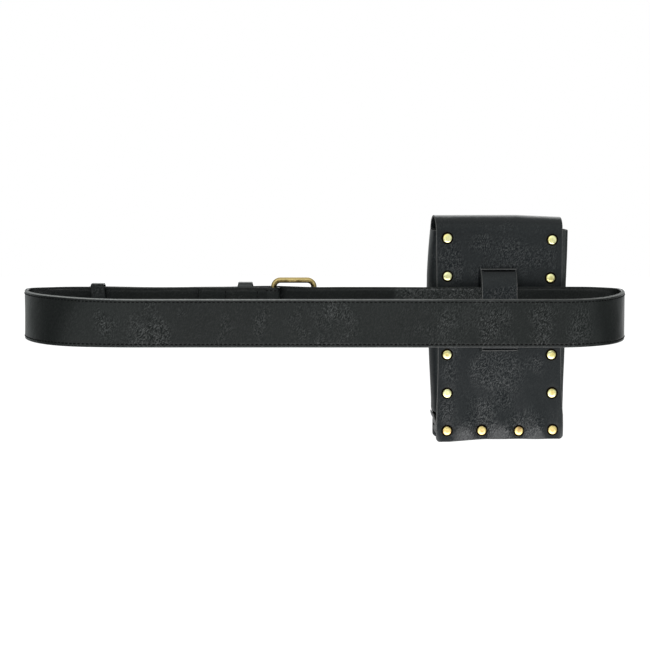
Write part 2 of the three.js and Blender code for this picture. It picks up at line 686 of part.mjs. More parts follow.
function flapSnap() {
  const { outside, inside } = snapSeats();
  const profile = [
    [0, inside - 1],
    [SNAP.washer, inside - 1],
    [SNAP.washer, inside],
    [SNAP.post, inside],
    [SNAP.post, outside],
    [SNAP.cap, outside],
    [SNAP.cap * 0.8, outside + 0.7 * SNAP.dome],
    [0, outside + SNAP.dome],
  ].map(([r, y]) => new THREE.Vector2(r, y));
  return new THREE.LatheGeometry(profile, SNAP.sides).translate(0, 0, SNAP.z);
}

// Assembly

const belt = new THREE.Group();
belt.add(piece("belt_strap", beltStrap(), blackLeather));
belt.add(piece("buckle_frame", buckleFrame(), agedBrass));
belt.add(piece("buckle_prong", buckleProng(), agedBrass));
for (const keeper of KEEPERS) belt.add(piece(keeper.name, keeperBand(keeper), blackLeather));

// The pouch hangs a little askew: each of its pieces leans by the same share of its height.
const lean = new THREE.Matrix4().makeShear(0, 0, 0, 0, POUCH.lean, 0);
const pouch = new THREE.Group();
pouch.position.set(POUCH.x, POUCH.y, 0);
pouch.rotation.z = THREE.MathUtils.degToRad(POUCH.yaw);
const hang = (name, geometry, material) => pouch.add(piece(name, geometry.applyMatrix4(lean), material));
hang("back_panel_and_flap", backAndFlap(), blackLeather);
hang("front_panel", frontPanel(), blackLeather);
hang("left_gusset", sideGusset("left"), blackLeather);
hang("right_gusset", sideGusset("right"), blackLeather);
hang("bottom_gusset", bottomGusset(), blackLeather);
hang("belt_loop", beltLoop(), blackLeather);
hang("flap_snap", flapSnap(), paleBrass);
for (const { name, x, z } of rivetPlaces) {
  hang(`back_rivet_${name}`, rivetShape().translate(x, 0, z), paleBrass);
  hang(`front_rivet_${name}`, rivetShape().rotateZ(Math.PI).translate(x, POUCH.depth, z), paleBrass);
}

const hipBag = new THREE.Group();
hipBag.add(belt, pouch);

export default hipBag;
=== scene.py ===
# %% [markdown]
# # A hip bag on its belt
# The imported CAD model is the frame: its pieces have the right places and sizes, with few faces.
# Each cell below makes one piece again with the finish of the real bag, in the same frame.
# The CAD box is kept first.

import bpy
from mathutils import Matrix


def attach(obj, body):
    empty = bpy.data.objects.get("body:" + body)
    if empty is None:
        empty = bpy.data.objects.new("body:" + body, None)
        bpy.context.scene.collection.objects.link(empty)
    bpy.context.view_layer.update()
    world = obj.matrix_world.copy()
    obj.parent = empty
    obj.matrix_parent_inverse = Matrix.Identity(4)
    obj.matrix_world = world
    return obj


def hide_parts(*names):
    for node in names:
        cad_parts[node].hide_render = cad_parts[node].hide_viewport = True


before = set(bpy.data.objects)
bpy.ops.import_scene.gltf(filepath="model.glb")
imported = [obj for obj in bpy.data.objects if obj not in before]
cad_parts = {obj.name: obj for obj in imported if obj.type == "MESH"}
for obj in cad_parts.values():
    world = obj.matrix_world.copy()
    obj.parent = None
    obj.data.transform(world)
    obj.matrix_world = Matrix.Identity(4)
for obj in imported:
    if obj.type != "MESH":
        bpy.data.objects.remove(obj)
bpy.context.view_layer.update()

import math

import bpy
import numpy as np

MM = 0.001
scene = bpy.context.scene

# %% [markdown]
# ## The camera
# The photograph looks at the belt's back from a little above it, through a long lens.
# A camera is fixed by three things: where it stands, how it is tipped and its focal length.
# All three were found from how the belt's ring narrows and rises with depth.

# %% Camera
PHOTO_SIDE, FOCAL_PIXELS, SENSOR = 650, 1869.6, 36
CAMERA_PLACE, CAMERA_TIP, SEEN_TO = (0.00092, -1.5, 0.1541), math.radians(83.86), 60


def in_scene(name, data):
    """Puts a camera, a lamp or a mesh in the scene as an object."""
    made = bpy.data.objects.new(name, data)
    scene.collection.objects.link(made)
    return made


camera_data = bpy.data.cameras.new("photo_camera")
camera_data.sensor_width = SENSOR
camera_data.lens = FOCAL_PIXELS * SENSOR / PHOTO_SIDE
camera_data.clip_end = SEEN_TO
camera = in_scene("photo_camera", camera_data)
camera.location = CAMERA_PLACE
camera.rotation_euler = (CAMERA_TIP, 0, 0)
scene.camera = camera
print("camera: lens", round(camera_data.lens, 1), "mm")

# %% [markdown]
# ## Helpers for nodes
# Materials and Geometry Nodes are both trees of nodes with sockets.
# One small class adds a node, sets its options and fills or links its inputs, and has a plain
# word for each kind of node that comes back, so that a tree reads as a list of steps.


# %% Node helpers
class Nodes:
    """A tree of nodes, with a plain word for each kind that is used often."""

    def __init__(self, tree):
        self.tree = tree

    def fill(self, made, inputs):
        """Links an input that is given a socket, and sets any other value."""
        for name, value in inputs.items():
            if isinstance(value, bpy.types.NodeSocket):
                self.tree.links.new(value, made.inputs[name])
            else:
                made.inputs[name].default_value = value

    def add(self, kind, inputs=None, **options):
        made = self.tree.nodes.new(kind)
        for name, value in options.items():
            setattr(made, name, value)
        self.fill(made, inputs or {})
        return made

    def maths(self, operation, first, second):
        return self.add("ShaderNodeMath", {0: first, 1: second}, operation=operation).outputs[0]

    def times(self, first, second):
        return self.maths("MULTIPLY", first, second)

    def plus(self, first, second):
        return self.maths("ADD", first, second)

    def vectors(self, operation, first, second):
        made = self.add("ShaderNodeVectorMath", {0: first, 1: second}, operation=operation)
        return made.outputs["Value"]

    def axis(self, vector, letter):
        return self.add("ShaderNodeSeparateXYZ", {"Vector": vector}).outputs[letter]

    def spread(self, value, low, high, to_low=0.0, to_high=1.0, ease="SMOOTHSTEP"):
        """Stretches a value from one range to another, smoothly or in a straight line."""
        ends = {"From Min": low, "From Max": high, "To Min": to_low, "To Max": to_high}
        made = self.add("ShaderNodeMapRange", {"Value": value, **ends}, interpolation_type=ease)
        return made.outputs["Result"]

    def noise(self, place, scale, detail=2.0, roughness=0.5, output="Fac"):
        looks = {"Vector": place, "Scale": scale, "Detail": detail, "Roughness": roughness}
        return self.add("ShaderNodeTexNoise", looks).outputs[output]

    def tones(self, share, stops):
        """A colour by a share from 0 to 1, between stops of a share and a colour."""
        ramp = self.add("ShaderNodeValToRGB", {"Fac": share})
        for at, colour in stops[1:-1]:
            ramp.color_ramp.elements.new(at)
        for stop, (at, colour) in zip(ramp.color_ramp.elements, stops):
            stop.position = at
            stop.color = (*colour, 1)
        return ramp.outputs["Color"]

    def two_tones(self, share, dark, light):
        return self.tones(share, [(0, dark), (1, light)])

    def mix(self, share, first, second, blend="MIX"):
        colours = {"Fac": share, "Color1": first, "Color2": second}
        return self.add("ShaderNodeMixRGB", colours, blend_type=blend).outputs["Color"]

    def attribute(self, name):
        return self.add("ShaderNodeAttribute", attribute_name=name).outputs["Fac"]

    def bump(self, height, strength, depth):
        looks = {"Height": height, "Strength": strength, "Distance": depth}
        return self.add("ShaderNodeBump", looks).outputs["Normal"]

    def seen_by_camera(self):
        return self.add("ShaderNodeLightPath").outputs["Is Camera Ray"]


def new_material(name):
    """A material, its nodes, its Principled shader and its Object coordinates."""
    material = bpy.data.materials.new(name)
    material.use_nodes = True
    nodes = Nodes(material.node_tree)
    place = nodes.add("ShaderNodeTexCoord").outputs["Object"]
    return material, nodes, material.node_tree.nodes["Principled BSDF"], place


def grey(light):
    return (light, light, light)


print("helpers: nodes, materials and greys")

# %% [markdown]
# ## Studio
# The bag hangs in even white light, over a pale floor that melts into a white background.
# A dark skin shows mostly what it mirrors, so what surrounds the bag matters more than any lamp.
# The world is even in front and above, and dim at the sides, which lets the belt's round ends
# darken as they turn away, until they catch the white behind the bag. The floor glows most in
# front of the pouch, which brightens the pouch's lower edge, and is wide behind.
# World and floor are white to the camera and dimmer to all else, so they don't wash out the black.

# %% Floor
FLOOR_Z = -0.46
# The floor's parts: half width, nearest and furthest y. It is narrow in front and wide behind.
FLOOR_PARTS = [(0.9, -9, 0.3), (3, 0.3, 6)]
MOTTLE_SCALE, MOTTLE_TONES = 3.0, (grey(0.1), grey(0.14))
# The bright place near the pouch: its strength, its middle, and where it starts to fade and ends.
NEAR_GLOW, GLOW_PLACE, GLOW_FADE = 5, (0.15, -0.5, FLOOR_Z), (0.25, 0.75)
# How the rest glows: from which x to which, its strength there, and where front turns to back.
FRONT_GLOW, BACK_GLOW = (-0.2, 0.55, 0.95, 0.2), (-0.3, 0.6, 0.33, 0.75)
FRONT_TO_BACK = (-0.2, 0.8)

floor_places, floor_faces = [], []
for wide, near, far in FLOOR_PARTS:
    floor_faces.append([len(floor_places) + k for k in range(4)])
    corners = ((-wide, near), (wide, near), (wide, far), (-wide, far))
    floor_places += [(x, y, FLOOR_Z) for x, y in corners]
floor_mesh = bpy.data.meshes.new("studio_floor")
floor_mesh.from_pydata(floor_places, [], floor_faces)
floor = in_scene("studio_floor", floor_mesh)

pale_floor, paint, shader, place = new_material("pale_floor")
floor_x, floor_y = paint.axis(place, "X"), paint.axis(place, "Y")
in_front = paint.spread(floor_y, *FRONT_TO_BACK, 1.0, 0.0)
front_glow = paint.times(paint.spread(floor_x, *FRONT_GLOW), in_front)
behind = paint.spread(floor_y, *FRONT_TO_BACK)
back_glow = paint.times(paint.spread(floor_x, *BACK_GLOW), behind)
from_glow = paint.vectors("DISTANCE", place, GLOW_PLACE)
near_glow = paint.times(paint.spread(from_glow, *GLOW_FADE, 1.0, 0.0), NEAR_GLOW)
floor_glow = paint.maths("MAXIMUM", near_glow, paint.plus(front_glow, back_glow))
looks = {
    "Base Color": paint.two_tones(paint.noise(place, MOTTLE_SCALE), *MOTTLE_TONES),
    "Emission Strength": paint.maths("MAXIMUM", floor_glow, paint.seen_by_camera()),
    "Emission Color": (*grey(1), 1),
    "Roughness": 0.9,
    "Specular IOR Level": 0.1,
}
paint.fill(shader, looks)
floor_mesh.materials.append(pale_floor)
print("floor: at", FLOOR_Z, "m")

# %% Background
SIDE_LIGHT, FRONT_LIGHT, BACK_LIGHT, TOP_LIGHT, RIGHT_DIMMER = 0.18, 1.02, 0.44, 0.3, 0.26
FRONT_WAY, BACK_WAY = (0.1, -0.995, 0), (-0.26, 0.966, 0)
# How far a ray leans each way where that light begins and where it is full.
FRONT_RISE, BACK_RISE, TOP_RISE, RIGHT_RISE = (0.07, 0.54), (0.3, 0.95), (0.35, 0.95), (-0.02, 0.16)
COOL_WHITE = (0.945, 1, 0.99, 1)
world = bpy.data.worlds.new("white_studio")
world.use_nodes = True
scene.world = world
world.node_tree.nodes.clear()
sky = Nodes(world.node_tree)
ray = sky.add("ShaderNodeTexCoord").outputs["Generated"]
ahead = sky.vectors("DOT_PRODUCT", ray, FRONT_WAY)
even_front = sky.spread(ahead, *FRONT_RISE, SIDE_LIGHT, SIDE_LIGHT + FRONT_LIGHT)
dimmer = sky.spread(sky.axis(ray, "X"), *RIGHT_RISE, 0.0, RIGHT_DIMMER)
front = sky.maths("SUBTRACT", even_front, sky.times(dimmer, even_front))
back = sky.spread(sky.vectors("DOT_PRODUCT", ray, BACK_WAY), *BACK_RISE, 0.0, BACK_LIGHT)
top = sky.spread(sky.axis(ray, "Z"), *TOP_RISE, 0.0, TOP_LIGHT)
around = sky.plus(sky.plus(front, back), top)
felt = sky.add("ShaderNodeBackground", {"Color": COOL_WHITE, "Strength": around})
seen = sky.add("ShaderNodeBackground", {"Color": (*grey(1), 1), "Strength": 1.0})
both = {0: sky.seen_by_camera(), 1: felt.outputs[0], 2: seen.outputs[0]}
chosen = sky.add("ShaderNodeMixShader", both)
sky.add("ShaderNodeOutputWorld", {"Surface": chosen.outputs[0]})
print("background:", len(world.node_tree.nodes), "nodes")

# %% Soft panels
# Each panel: its name, where it stands, its width and height in metres, and its brightness.
SOFT_PANELS = [
    ("key_panel", (-0.9, -2.0, 1.5), (1.3, 1.0), 1.2),
    ("overhead_panel", (0.2, 0.3, 1.9), (1.8, 1.2), 0.35),
    ("back_panel", (0.3, 2.2, 0.9), (2.0, 1.2), 1.2),
]
for name, stands, size, bright in SOFT_PANELS:
    lamp = bpy.data.lights.new(name, "AREA")
    lamp.shape = "RECTANGLE"
    lamp.size, lamp.size_y = size
    lamp.energy = bright * math.pi * lamp.size * lamp.size_y
    stand = in_scene(name, lamp)
    stand.location = stands
    stand.rotation_euler = stand.location.to_track_quat("Z", "Y").to_euler()
    stand.visible_camera = False
scene.view_settings.view_transform = "Standard"
print("lights:", len(SOFT_PANELS), "soft panels aimed at the belt's middle")

# %% [markdown]
# ## Black leather
# The bag is black coated leather. Nearly all that shows of it is its sheen, and fine wrinkles
# break the sheen; they gather in patches and leave the places between them smooth.
# Wrinkles this fine could be sculpted or bumped, but from so far away they would only sparkle.
# So one noise, stretched along a slant and swayed by a slower one, makes short strokes that change
# the gloss itself: less in a crease, more on the ridge beside it, where the coat is also painted
# pale, partly as rubbed coat and partly as a painted glint. A slight bump follows the strokes. Each
# mesh carries an attribute named wrinkled, from 0 to 1, for where the patches are, and noise breaks
# them up. Four skins differ in tone and sheen; one is a lighter copy of the leather with painted
# light, and one a darker copy, partly the duller inside and partly painted shade.

# %% Leather skin
# Size of each noise's features, in metres.
STROKE, SWAY, PATCH, PORE, RUMPLE, SLOW = 0.7e-3, 7e-3, 18e-3, 0.7e-3, 9e-3, 80e-3
STROKE_SLANT, STROKE_STRETCH, SWAY_REACH = math.radians(28), 2.8, 0.005
# Shares of noise and of the attribute in a patch, its soft border, and what a smooth place keeps.
PATCH_NOISE, PATCH_MARKED, PATCH_BORDER, SMOOTH_PLACES = 1.3, 0.7, (0.7, 1.4), 0.15
# The strokes' levels that change the gloss, how far, with which lift, and the levels painted pale.
GLOSS_LEVELS, RIPPLE, LIFT, GLINT_AND_RUB_LEVELS = (0.4, 0.6), 1.0, 0.2, (0.55, 0.8)
# The pale ridges' tone: partly rubbed coat, partly a painted glint of the light a ridge catches.
GLINT_AND_RUB_TONE, COAT_ROUGHNESS = (0.04, 0.042, 0.042, 1), (0.28, 0.34)
FOLD_HEIGHT, PORE_HEIGHT, RUMPLE_HEIGHT, GRAIN, GRAIN_DEPTH = 0.8, 0.12, 0.6, 0.9, 0.0004


def leather_skin(name, deep, pale, sheen):
    """Black coated leather between two tones of the coat, with how strongly it mirrors."""
    material, paint, shader, place = new_material(name)
    uneven = paint.times(paint.noise(place, 1 / PATCH, 1.5), PATCH_NOISE)
    marked = paint.times(paint.attribute("wrinkled"), PATCH_MARKED)
    patches = paint.spread(paint.plus(uneven, marked), *PATCH_BORDER, SMOOTH_PLACES, 1.0)
    sway = paint.noise(place, 1 / SWAY, 1.0, output="Color")
    swayed = paint.mix(SWAY_REACH, place, sway, "ADD")
    slant = {"Rotation": (0, STROKE_SLANT, 0), "Scale": (1, 1, STROKE_STRETCH)}
    slanted = paint.add("ShaderNodeMapping", {"Vector": swayed, **slant}, vector_type="TEXTURE")
    strokes = paint.noise(slanted.outputs["Vector"], 1 / STROKE, 1.0)
    ripples = paint.spread(strokes, *GLOSS_LEVELS, LIFT - 1.0, LIFT + 1.0, ease="LINEAR")
    gloss = paint.times(ripples, patches)
    sheens = (sheen * (1 - RIPPLE), sheen * (1 + RIPPLE))
    # Painted glints: the high strokes in a patch are painted paler, partly rubbed coat and partly
    # light.
    glints_and_rub = paint.times(paint.spread(strokes, *GLINT_AND_RUB_LEVELS), patches)
    folds = paint.times(paint.times(strokes, patches), FOLD_HEIGHT)
    pores = paint.times(paint.noise(place, 1 / PORE), PORE_HEIGHT)
    rumples = paint.times(paint.noise(place, 1 / RUMPLE), RUMPLE_HEIGHT)
    height = paint.plus(paint.plus(folds, pores), rumples)
    coat = paint.two_tones(paint.noise(place, 1 / SLOW), deep, pale)
    looks = {
        "Base Color": paint.mix(glints_and_rub, coat, GLINT_AND_RUB_TONE),
        "Roughness": paint.spread(patches, 0.0, 1.0, *COAT_ROUGHNESS),
        "Specular IOR Level": paint.spread(gloss, -1.0, 1.0, *sheens, ease="LINEAR"),
        "Normal": paint.bump(height, GRAIN, GRAIN_DEPTH),
    }
    paint.fill(shader, looks)
    return material


# Each skin: its deep and pale tone, and its sheen.
SKINS = {
    "belt_leather": ((0.0042, 0.005, 0.005), (0.0098, 0.0114, 0.0108), 0.21),
    "pouch_leather": ((0.005, 0.0062, 0.0073), (0.011, 0.0129, 0.0139), 0.23),
    # A darker copy: partly the duller inside of the belt, partly painted shade where little light
    # falls.
    "belt_inside": ((0.0034, 0.004, 0.004), (0.0072, 0.0082, 0.0078), 0.15),
    # A lighter copy of the same leather: painted light for faces that catch more light.
    "side_leather": ((0.008, 0.0096, 0.0096), (0.018, 0.0205, 0.02), 0.4),
}
skins = {name: leather_skin(name, *looks) for name, looks in SKINS.items()}
print("leather skins:", ", ".join(skins))

# %% [markdown]
# ## Cut edges and thread
# Where the leather is cut, its fibres show. Most cuts are dyed, so they are only a little paler
# than the skin. The belt's upper edge shows as a thin pale line, most of all on its left: partly
# fibre that has lost its dye, partly a painted highlight on its rounded top. An image could hold
# that, but a colour ramp along the ring needs no picture and serves both edges. The thread is
# black, with a fine twist.

# %% Cut edges and thread
RING_HALF = 0.246
# Share of the ring's length from its left end, and how pale the cut is there.
DYED = [(0, 0.1), (1, 0.1)]
# Pale stretches: partly fibre that has lost its dye, partly a painted highlight on the rounded top.
WORN_AND_HIGHLIT = [(0, 0.36), (0.07, 0.36), (0.3, 0.38), (0.45, 0.29), (0.65, 0.21)]
WORN_AND_HIGHLIT += [(0.72, 0.1), (0.9, 0.1), (0.96, 0.3), (1, 0.4)]
FIBRE_SCALE, FIBRE_TONES, FIBRE_BLUE = 700.0, (grey(0.3), grey(1)), 0.98
TWIST_SCALE, THREAD_TONES = 2600.0, (grey(0.0015), grey(0.005))


def fibrous(name, tones):
    """A dull fibrous material for cut leather, with its tone along the ring."""
    material, paint, shader, place = new_material(name)
    fibres = paint.noise(place, FIBRE_SCALE, 3.0, 0.6)
    share = paint.spread(paint.axis(place, "X"), -RING_HALF, RING_HALF, ease="LINEAR")
    along = paint.tones(share, [(at, (pale, pale, pale * FIBRE_BLUE)) for at, pale in tones])
    looks = {
        "Base Color": paint.mix(1.0, along, paint.two_tones(fibres, *FIBRE_TONES), "MULTIPLY"),
        "Normal": paint.bump(fibres, 0.4, 0.0002),
        "Roughness": 0.7,
        "Specular IOR Level": 0.3,
    }
    paint.fill(shader, looks)
    return material


dyed_edge, worn_edge = fibrous("dyed_edge", DYED), fibrous("worn_edge", WORN_AND_HIGHLIT)

# The thread's black also paints the shade under the belt loop's upper lip.
black_thread, paint, shader, place = new_material("black_thread")
twist = paint.noise(place, TWIST_SCALE)
looks = {
    "Base Color": paint.two_tones(twist, *THREAD_TONES),
    "Normal": paint.bump(twist, 0.5, 0.0001),
    "Roughness": 0.7,
    "Specular IOR Level": 0.04,
}
paint.fill(shader, looks)
print("cut edges:", dyed_edge.name, "and", worn_edge.name, "with", black_thread.name)

# %% [markdown]
# ## Brass
# The rivets are pale brass and the buckle is antique brass: dark in its recesses, bright where
# hands rub it. Both read an attribute which the meshes carry from 0 where the brass is dark to 1 on
# a clean face, so the shape itself says where it is dark, and noise breaks it up. That darkness is
# dirt in the buckle's recesses, and painted shade in a rivet's collar round its head. The rivets
# also get smudges, and those low on the pouch are painted darker.

# %% Pale and aged brass
# How clean the brass is, then its tone: black dirt and painted shade, dark bronze, amber, yellow
# and nearly white.
BRASS_TONES = [
    (0, (0.006, 0.004, 0.002)),
    (0.25, (0.03, 0.019, 0.005)),
    (0.5, (0.72, 0.47, 0.2)),
    (0.75, (0.82, 0.72, 0.28)),
    (1, (0.91, 0.88, 0.48)),
]
SMUDGE_SCALE, SMUDGE_LEVELS, SMUDGE = 150.0, (0.45, 0.7), 0.3
DARKER_LOW_HEIGHTS, DARKER_LOW = (-0.1, -0.07), 0.34
TARNISH_SCALE, TARNISH, WEAR_BORDER = 230.0, 0.7, (0.45, 1.15)
RECESS_TONE, HANDLED_TONE = (0.03, 0.021, 0.008), (0.53, 0.4, 0.168)

pale_brass, paint, shader, place = new_material("pale_brass")
# 0 is dirt and painted shade, as in a rivet's dark collar; 1 is a clean lit face.
clean_and_lit = paint.attribute("worn")
smudges = paint.times(paint.spread(paint.noise(place, SMUDGE_SCALE), *SMUDGE_LEVELS), SMUDGE)
# Rivets are painted darker towards the bottom of the pouch.
darker_low = paint.spread(paint.axis(place, "Z"), *DARKER_LOW_HEIGHTS, DARKER_LOW, 0.0)
bright = paint.maths("SUBTRACT", clean_and_lit, paint.plus(smudges, darker_low))
looks = {
    "Base Color": paint.tones(bright, BRASS_TONES),
    "Roughness": paint.spread(clean_and_lit, 0.0, 1.0, 0.6, 0.34),
    "Metallic": 1.0,
}
paint.fill(shader, looks)

aged_brass, paint, shader, place = new_material("aged_brass")
tarnish = paint.noise(place, TARNISH_SCALE, 4.0, 0.65)
uneven = paint.plus(paint.attribute("worn"), paint.times(tarnish, TARNISH))
handled = paint.spread(uneven, *WEAR_BORDER)
looks = {
    "Base Color": paint.two_tones(handled, RECESS_TONE, HANDLED_TONE),
    "Roughness": paint.spread(handled, 0.0, 1.0, 0.5, 0.3),
    "Normal": paint.bump(tarnish, 0.25, 0.0002),
    "Metallic": 1.0,
}
paint.fill(shader, looks)
print("brass:", pale_brass.name, "for the rivets,", aged_brass.name, "for the buckle")

# %% [markdown]
# ## A sheet of leather
# Every leather piece is a sheet: a grid of places in the middle of its thickness, an outward
# direction and a thickness at each place. Blender's Solidify could thicken a plain grid, but a
# cut edge of real leather is rounded over, and a rivet or a seam presses the sheet thin.
# With a thickness at each place, one function gives all of that.


# %% Pieces and meshes
def finish_piece(name, mesh, slot, *nodes):
    """Puts a mesh in the scene as a finished piece, riding on the bag, in place of CAD nodes."""
    made = in_scene(name, mesh)
    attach(made, "root")
    if nodes:
        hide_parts(*nodes)
    print(name + ":", sum(len(face.vertices) - 2 for face in mesh.polygons), "triangles")
    return made


def new_mesh(name, places, faces, materials, picks=None):
    """A smooth mesh from places in millimetres, its faces turned outwards."""
    places = np.asarray(places, float) * MM
    volume = 0.0
    for size in (3, 4):
        some = [face for face in faces if len(face) == size]
        if some:
            corners = places[np.array(some)]
            for k in range(1, size - 1):
                crossed = np.cross(corners[:, k], corners[:, k + 1])
                volume += np.einsum("ij,ij->", corners[:, 0], crossed)
    if volume < 0:
        faces = [tuple(reversed(face)) for face in faces]
    mesh = bpy.data.meshes.new(name)
    mesh.from_pydata(places.tolist(), [], faces)
    for material in materials:
        mesh.materials.append(material)
    if picks is not None:
        mesh.polygons.foreach_set("material_index", np.asarray(picks, np.int32))
    mesh.polygons.foreach_set("use_smooth", np.ones(len(mesh.polygons), bool))
    mesh.update()
    return mesh


def mark(mesh, name, values, kind="FLOAT"):
    """Keeps a number, or a direction, for each point of a mesh."""
    layer = mesh.attributes.new(name, kind, "POINT")
    key = "value" if kind == "FLOAT" else "vector"
    layer.data.foreach_set(key, np.ravel(values).astype(np.float32))


def repaint(mesh, faces, material):
    """Gives some faces, by their numbers, another of the mesh's materials."""
    if material.name not in mesh.materials:
        mesh.materials.append(material)
    picks = np.zeros(len(mesh.polygons), np.int32)
    mesh.polygons.foreach_get("material_index", picks)
    picks[faces] = mesh.materials.find(material.name)
    mesh.polygons.foreach_set("material_index", picks)


print("piece helpers are ready")

# %% Sheet helpers
PLAIN_WRINKLES = 0.12
TOUCH = 1e-6


def outward_of(middle, loop=False):
    """The direction square to a grid of places, at each of them."""
    if loop:
        wrapped = np.concatenate([middle[-1:], middle, middle[:1]])
        along = np.gradient(wrapped, axis=0)[1:-1]
    else:
        along = np.gradient(middle, axis=0)
    square = np.cross(along, np.gradient(middle, axis=1))
    return square / np.linalg.norm(square, axis=-1, keepdims=True)


def sheet_faces(rows, columns, loop):
    """Faces of a thick grid, its two sides and then its cut edges, and how many a side has."""
    index = np.arange(rows * columns).reshape(rows, columns)
    if loop:
        index = np.vstack([index, index[:1]])
    under = rows * columns
    a, b, c, d = index[:-1, :-1], index[1:, :-1], index[1:, 1:], index[:-1, 1:]
    outside, inside = (np.stack(quad, -1).reshape(-1, 4) for quad in ([a, b, c, d], [a, d, c, b]))
    edges = [(b[:, 0], a[:, 0]), (d[:, -1], c[:, -1])]
    if not loop:
        edges += [(a[0], d[0]), (c[-1], b[-1])]
    cut = [np.stack([p, q, q + under, p + under], -1) for p, q in edges]
    return np.concatenate([outside, inside + under, *cut]), len(outside)


def leather_sheet(name, middle, outward, thick, from_edge, band, skin, loop=False,
                  cut=dyed_edge, outside=PLAIN_WRINKLES, inside=PLAIN_WRINKLES):
    """A closed leather sheet. Faces within `band` of a cut edge show cut leather.

    `outside` and `inside` say how wrinkled each side is, from 0 to 1.
    """
    half = outward * thick[..., None] / 2
    places = np.concatenate([(middle + half).reshape(-1, 3), (middle - half).reshape(-1, 3)])
    faces, side = sheet_faces(*thick.shape, loop)
    distance = np.tile(np.ravel(from_edge), 2)
    picks = (distance[faces].max(axis=1) <= band + TOUCH).astype(np.int32)
    picks[2 * side :] = 1
    mesh = new_mesh(name, places, faces.tolist(), [skin, cut], picks)
    mark(mesh, "wrinkled", [np.broadcast_to(share, thick.shape) for share in (outside, inside)])
    return mesh


def wrinkled_places(table, x, z):
    """How wrinkled places are, from patches: centre, reach across, reach up and strength."""
    share = np.zeros(np.broadcast(x, z).shape)
    for centre_x, centre_z, reach_x, reach_z, strength in table:
        off = ((x - centre_x) / reach_x) ** 2 + ((z - centre_z) / reach_z) ** 2
        share = np.maximum(share, strength * np.exp(-(off**1.5)))
    return share


print("sheet helpers are ready")

# %% Stations and runs
EDGE_STEPS = [0, 0.06, 0.22, 0.5, 1]
EDGE_GROWTH, EDGE_START = 0.35, 0.1


def edged(length, rounding, pitch):
    """Stations along a length, close together at both ends and at most `pitch` apart between."""
    lead = [share * rounding for share in EDGE_STEPS]
    while lead[-1] < 4 * pitch and lead[-1] < length / 3:
        lead.append(lead[-1] + min(pitch, EDGE_GROWTH * lead[-1] + EDGE_START))
    count = max(1, math.ceil((length - 2 * lead[-1]) / pitch))
    inner = np.linspace(lead[-1], length - lead[-1], count + 1)
    return np.concatenate([lead[:-1], inner, [length - step for step in reversed(lead[:-1])]])


def from_ends(stations):
    """How far each station is from the nearer end."""
    return np.minimum(stations, stations[-1] - stations)


def rounded_over(distance, rounding, flat):
    """Share of the thickness left at a distance from a cut edge, which keeps a flat of its own."""
    inward = np.clip(distance / rounding, 0, 1)
    return flat + (1 - flat) * np.sqrt(1 - (1 - inward) ** 2)


def pressed(distance, width):
    """A soft groove: 1 in its middle, 0 beyond its width."""
    return np.exp(-((distance / width) ** 2))


def eased(share):
    """A share from 0 to 1 that starts and ends gently."""
    return share**2 * (3 - 2 * share)


def smooth_run(points, step):
    """A smooth run through points, with stations at most `step` apart."""
    points = np.asarray(points, float)
    held = np.vstack([2 * points[0] - points[1], points, 2 * points[-1] - points[-2]])
    run = [points[0]]
    for i in range(len(points) - 1):
        p0, p1, p2, p3 = held[i : i + 4]
        d0, d1, d2 = (np.linalg.norm(q - p) ** 0.5 for p, q in ((p0, p1), (p1, p2), (p2, p3)))
        leave = ((p1 - p0) / d0 - (p2 - p0) / (d0 + d1) + (p2 - p1) / d1) * d1
        arrive = ((p2 - p1) / d1 - (p3 - p1) / (d1 + d2) + (p3 - p2) / d2) * d1
        parts = max(1, math.ceil(np.linalg.norm(p2 - p1) / step))
        for t in np.arange(1, parts + 1) / parts:
            ends = (2 * t**3 - 3 * t**2 + 1) * p1 + (3 * t**2 - 2 * t**3) * p2
            run.append(ends + (t**3 - 2 * t**2 + t) * leave + (t**3 - t**2) * arrive)
    return np.array(run)


def lengths_along(run):
    return np.concatenate([[0], np.cumsum(np.linalg.norm(np.diff(run, axis=0), axis=1))])


print("a 10 mm edge has stations at", edged(10, 1, 3).round(2).tolist())

# %% [markdown]
# ## The belt's route
# The belt is one strap: its end folds back round the buckle's bar, it goes once round the ring,
# passes behind the pouch, comes up through the buckle and lies over itself to its tip.
# A curve object could draw that, but a smooth run through the CAD model's own places keeps it
# exactly where the frame has it. Places are in millimetres seen from above, with a third number
# where the strap rides up.

# %% Belt route
BELT_WIDTH, BELT_THICK, BELT_SKIVED, BELT_PITCH = 38, 3, 2, 2.4
BUCKLE_BAR, FOLD_RADIUS = (-41.5, 43.8), 3.8
LOOP_BACK_Y, RING_TILT = -49.9, 0.0115
# The ring's ends: the side, the furthest x and its y, how far the turns to the front and back
# stretches reach, the front stretch's y, and how far the edges lean and where that fades.
LEFT_END = dict(sign=-1, far_x=242.7, far_y=25, front_reach=40, front_y=49)
LEFT_END.update(back_reach=95, lean=9, fade=88)
RIGHT_END = dict(sign=1, far_x=243.2, far_y=21, front_reach=31.5, front_y=48.5)
RIGHT_END.update(back_reach=58, lean=6, fade=68)
LEAN_BACK, LEAN_FRONT, LEAN_OUT = 50, 60, 0.14
FOLDED_END = [(-104, 40.4), (-89, 41.8), (-77, 41.1), (-55, 40.9), (-47, 40.3)]
FRONT_LEFT = [(-49, 46.7), (-65, 46), (-76, 45.7), (-100, 43.6), (-138, 40.4), (-185, 47.6)]
FRONT_RIGHT = [(198, 48.5), (146, 46.3), (94, 44.4), (54, 45.8), (15, 41.2, 0.5), (-8, 39.6, 0.6)]
FRONT_RIGHT += [(-25, 44.8, 0.6), (-42, 50.5, 0.6), (-65, 50.4, 0.3), (-76, 49.8), (-100, 47.6)]
FRONT_RIGHT += [(-138, 44.4), (-185, 51.6), (-216, 53.4)]
FOLD_PARTS, FRONT_PARTS, BACK_PARTS = 20, 20, 32


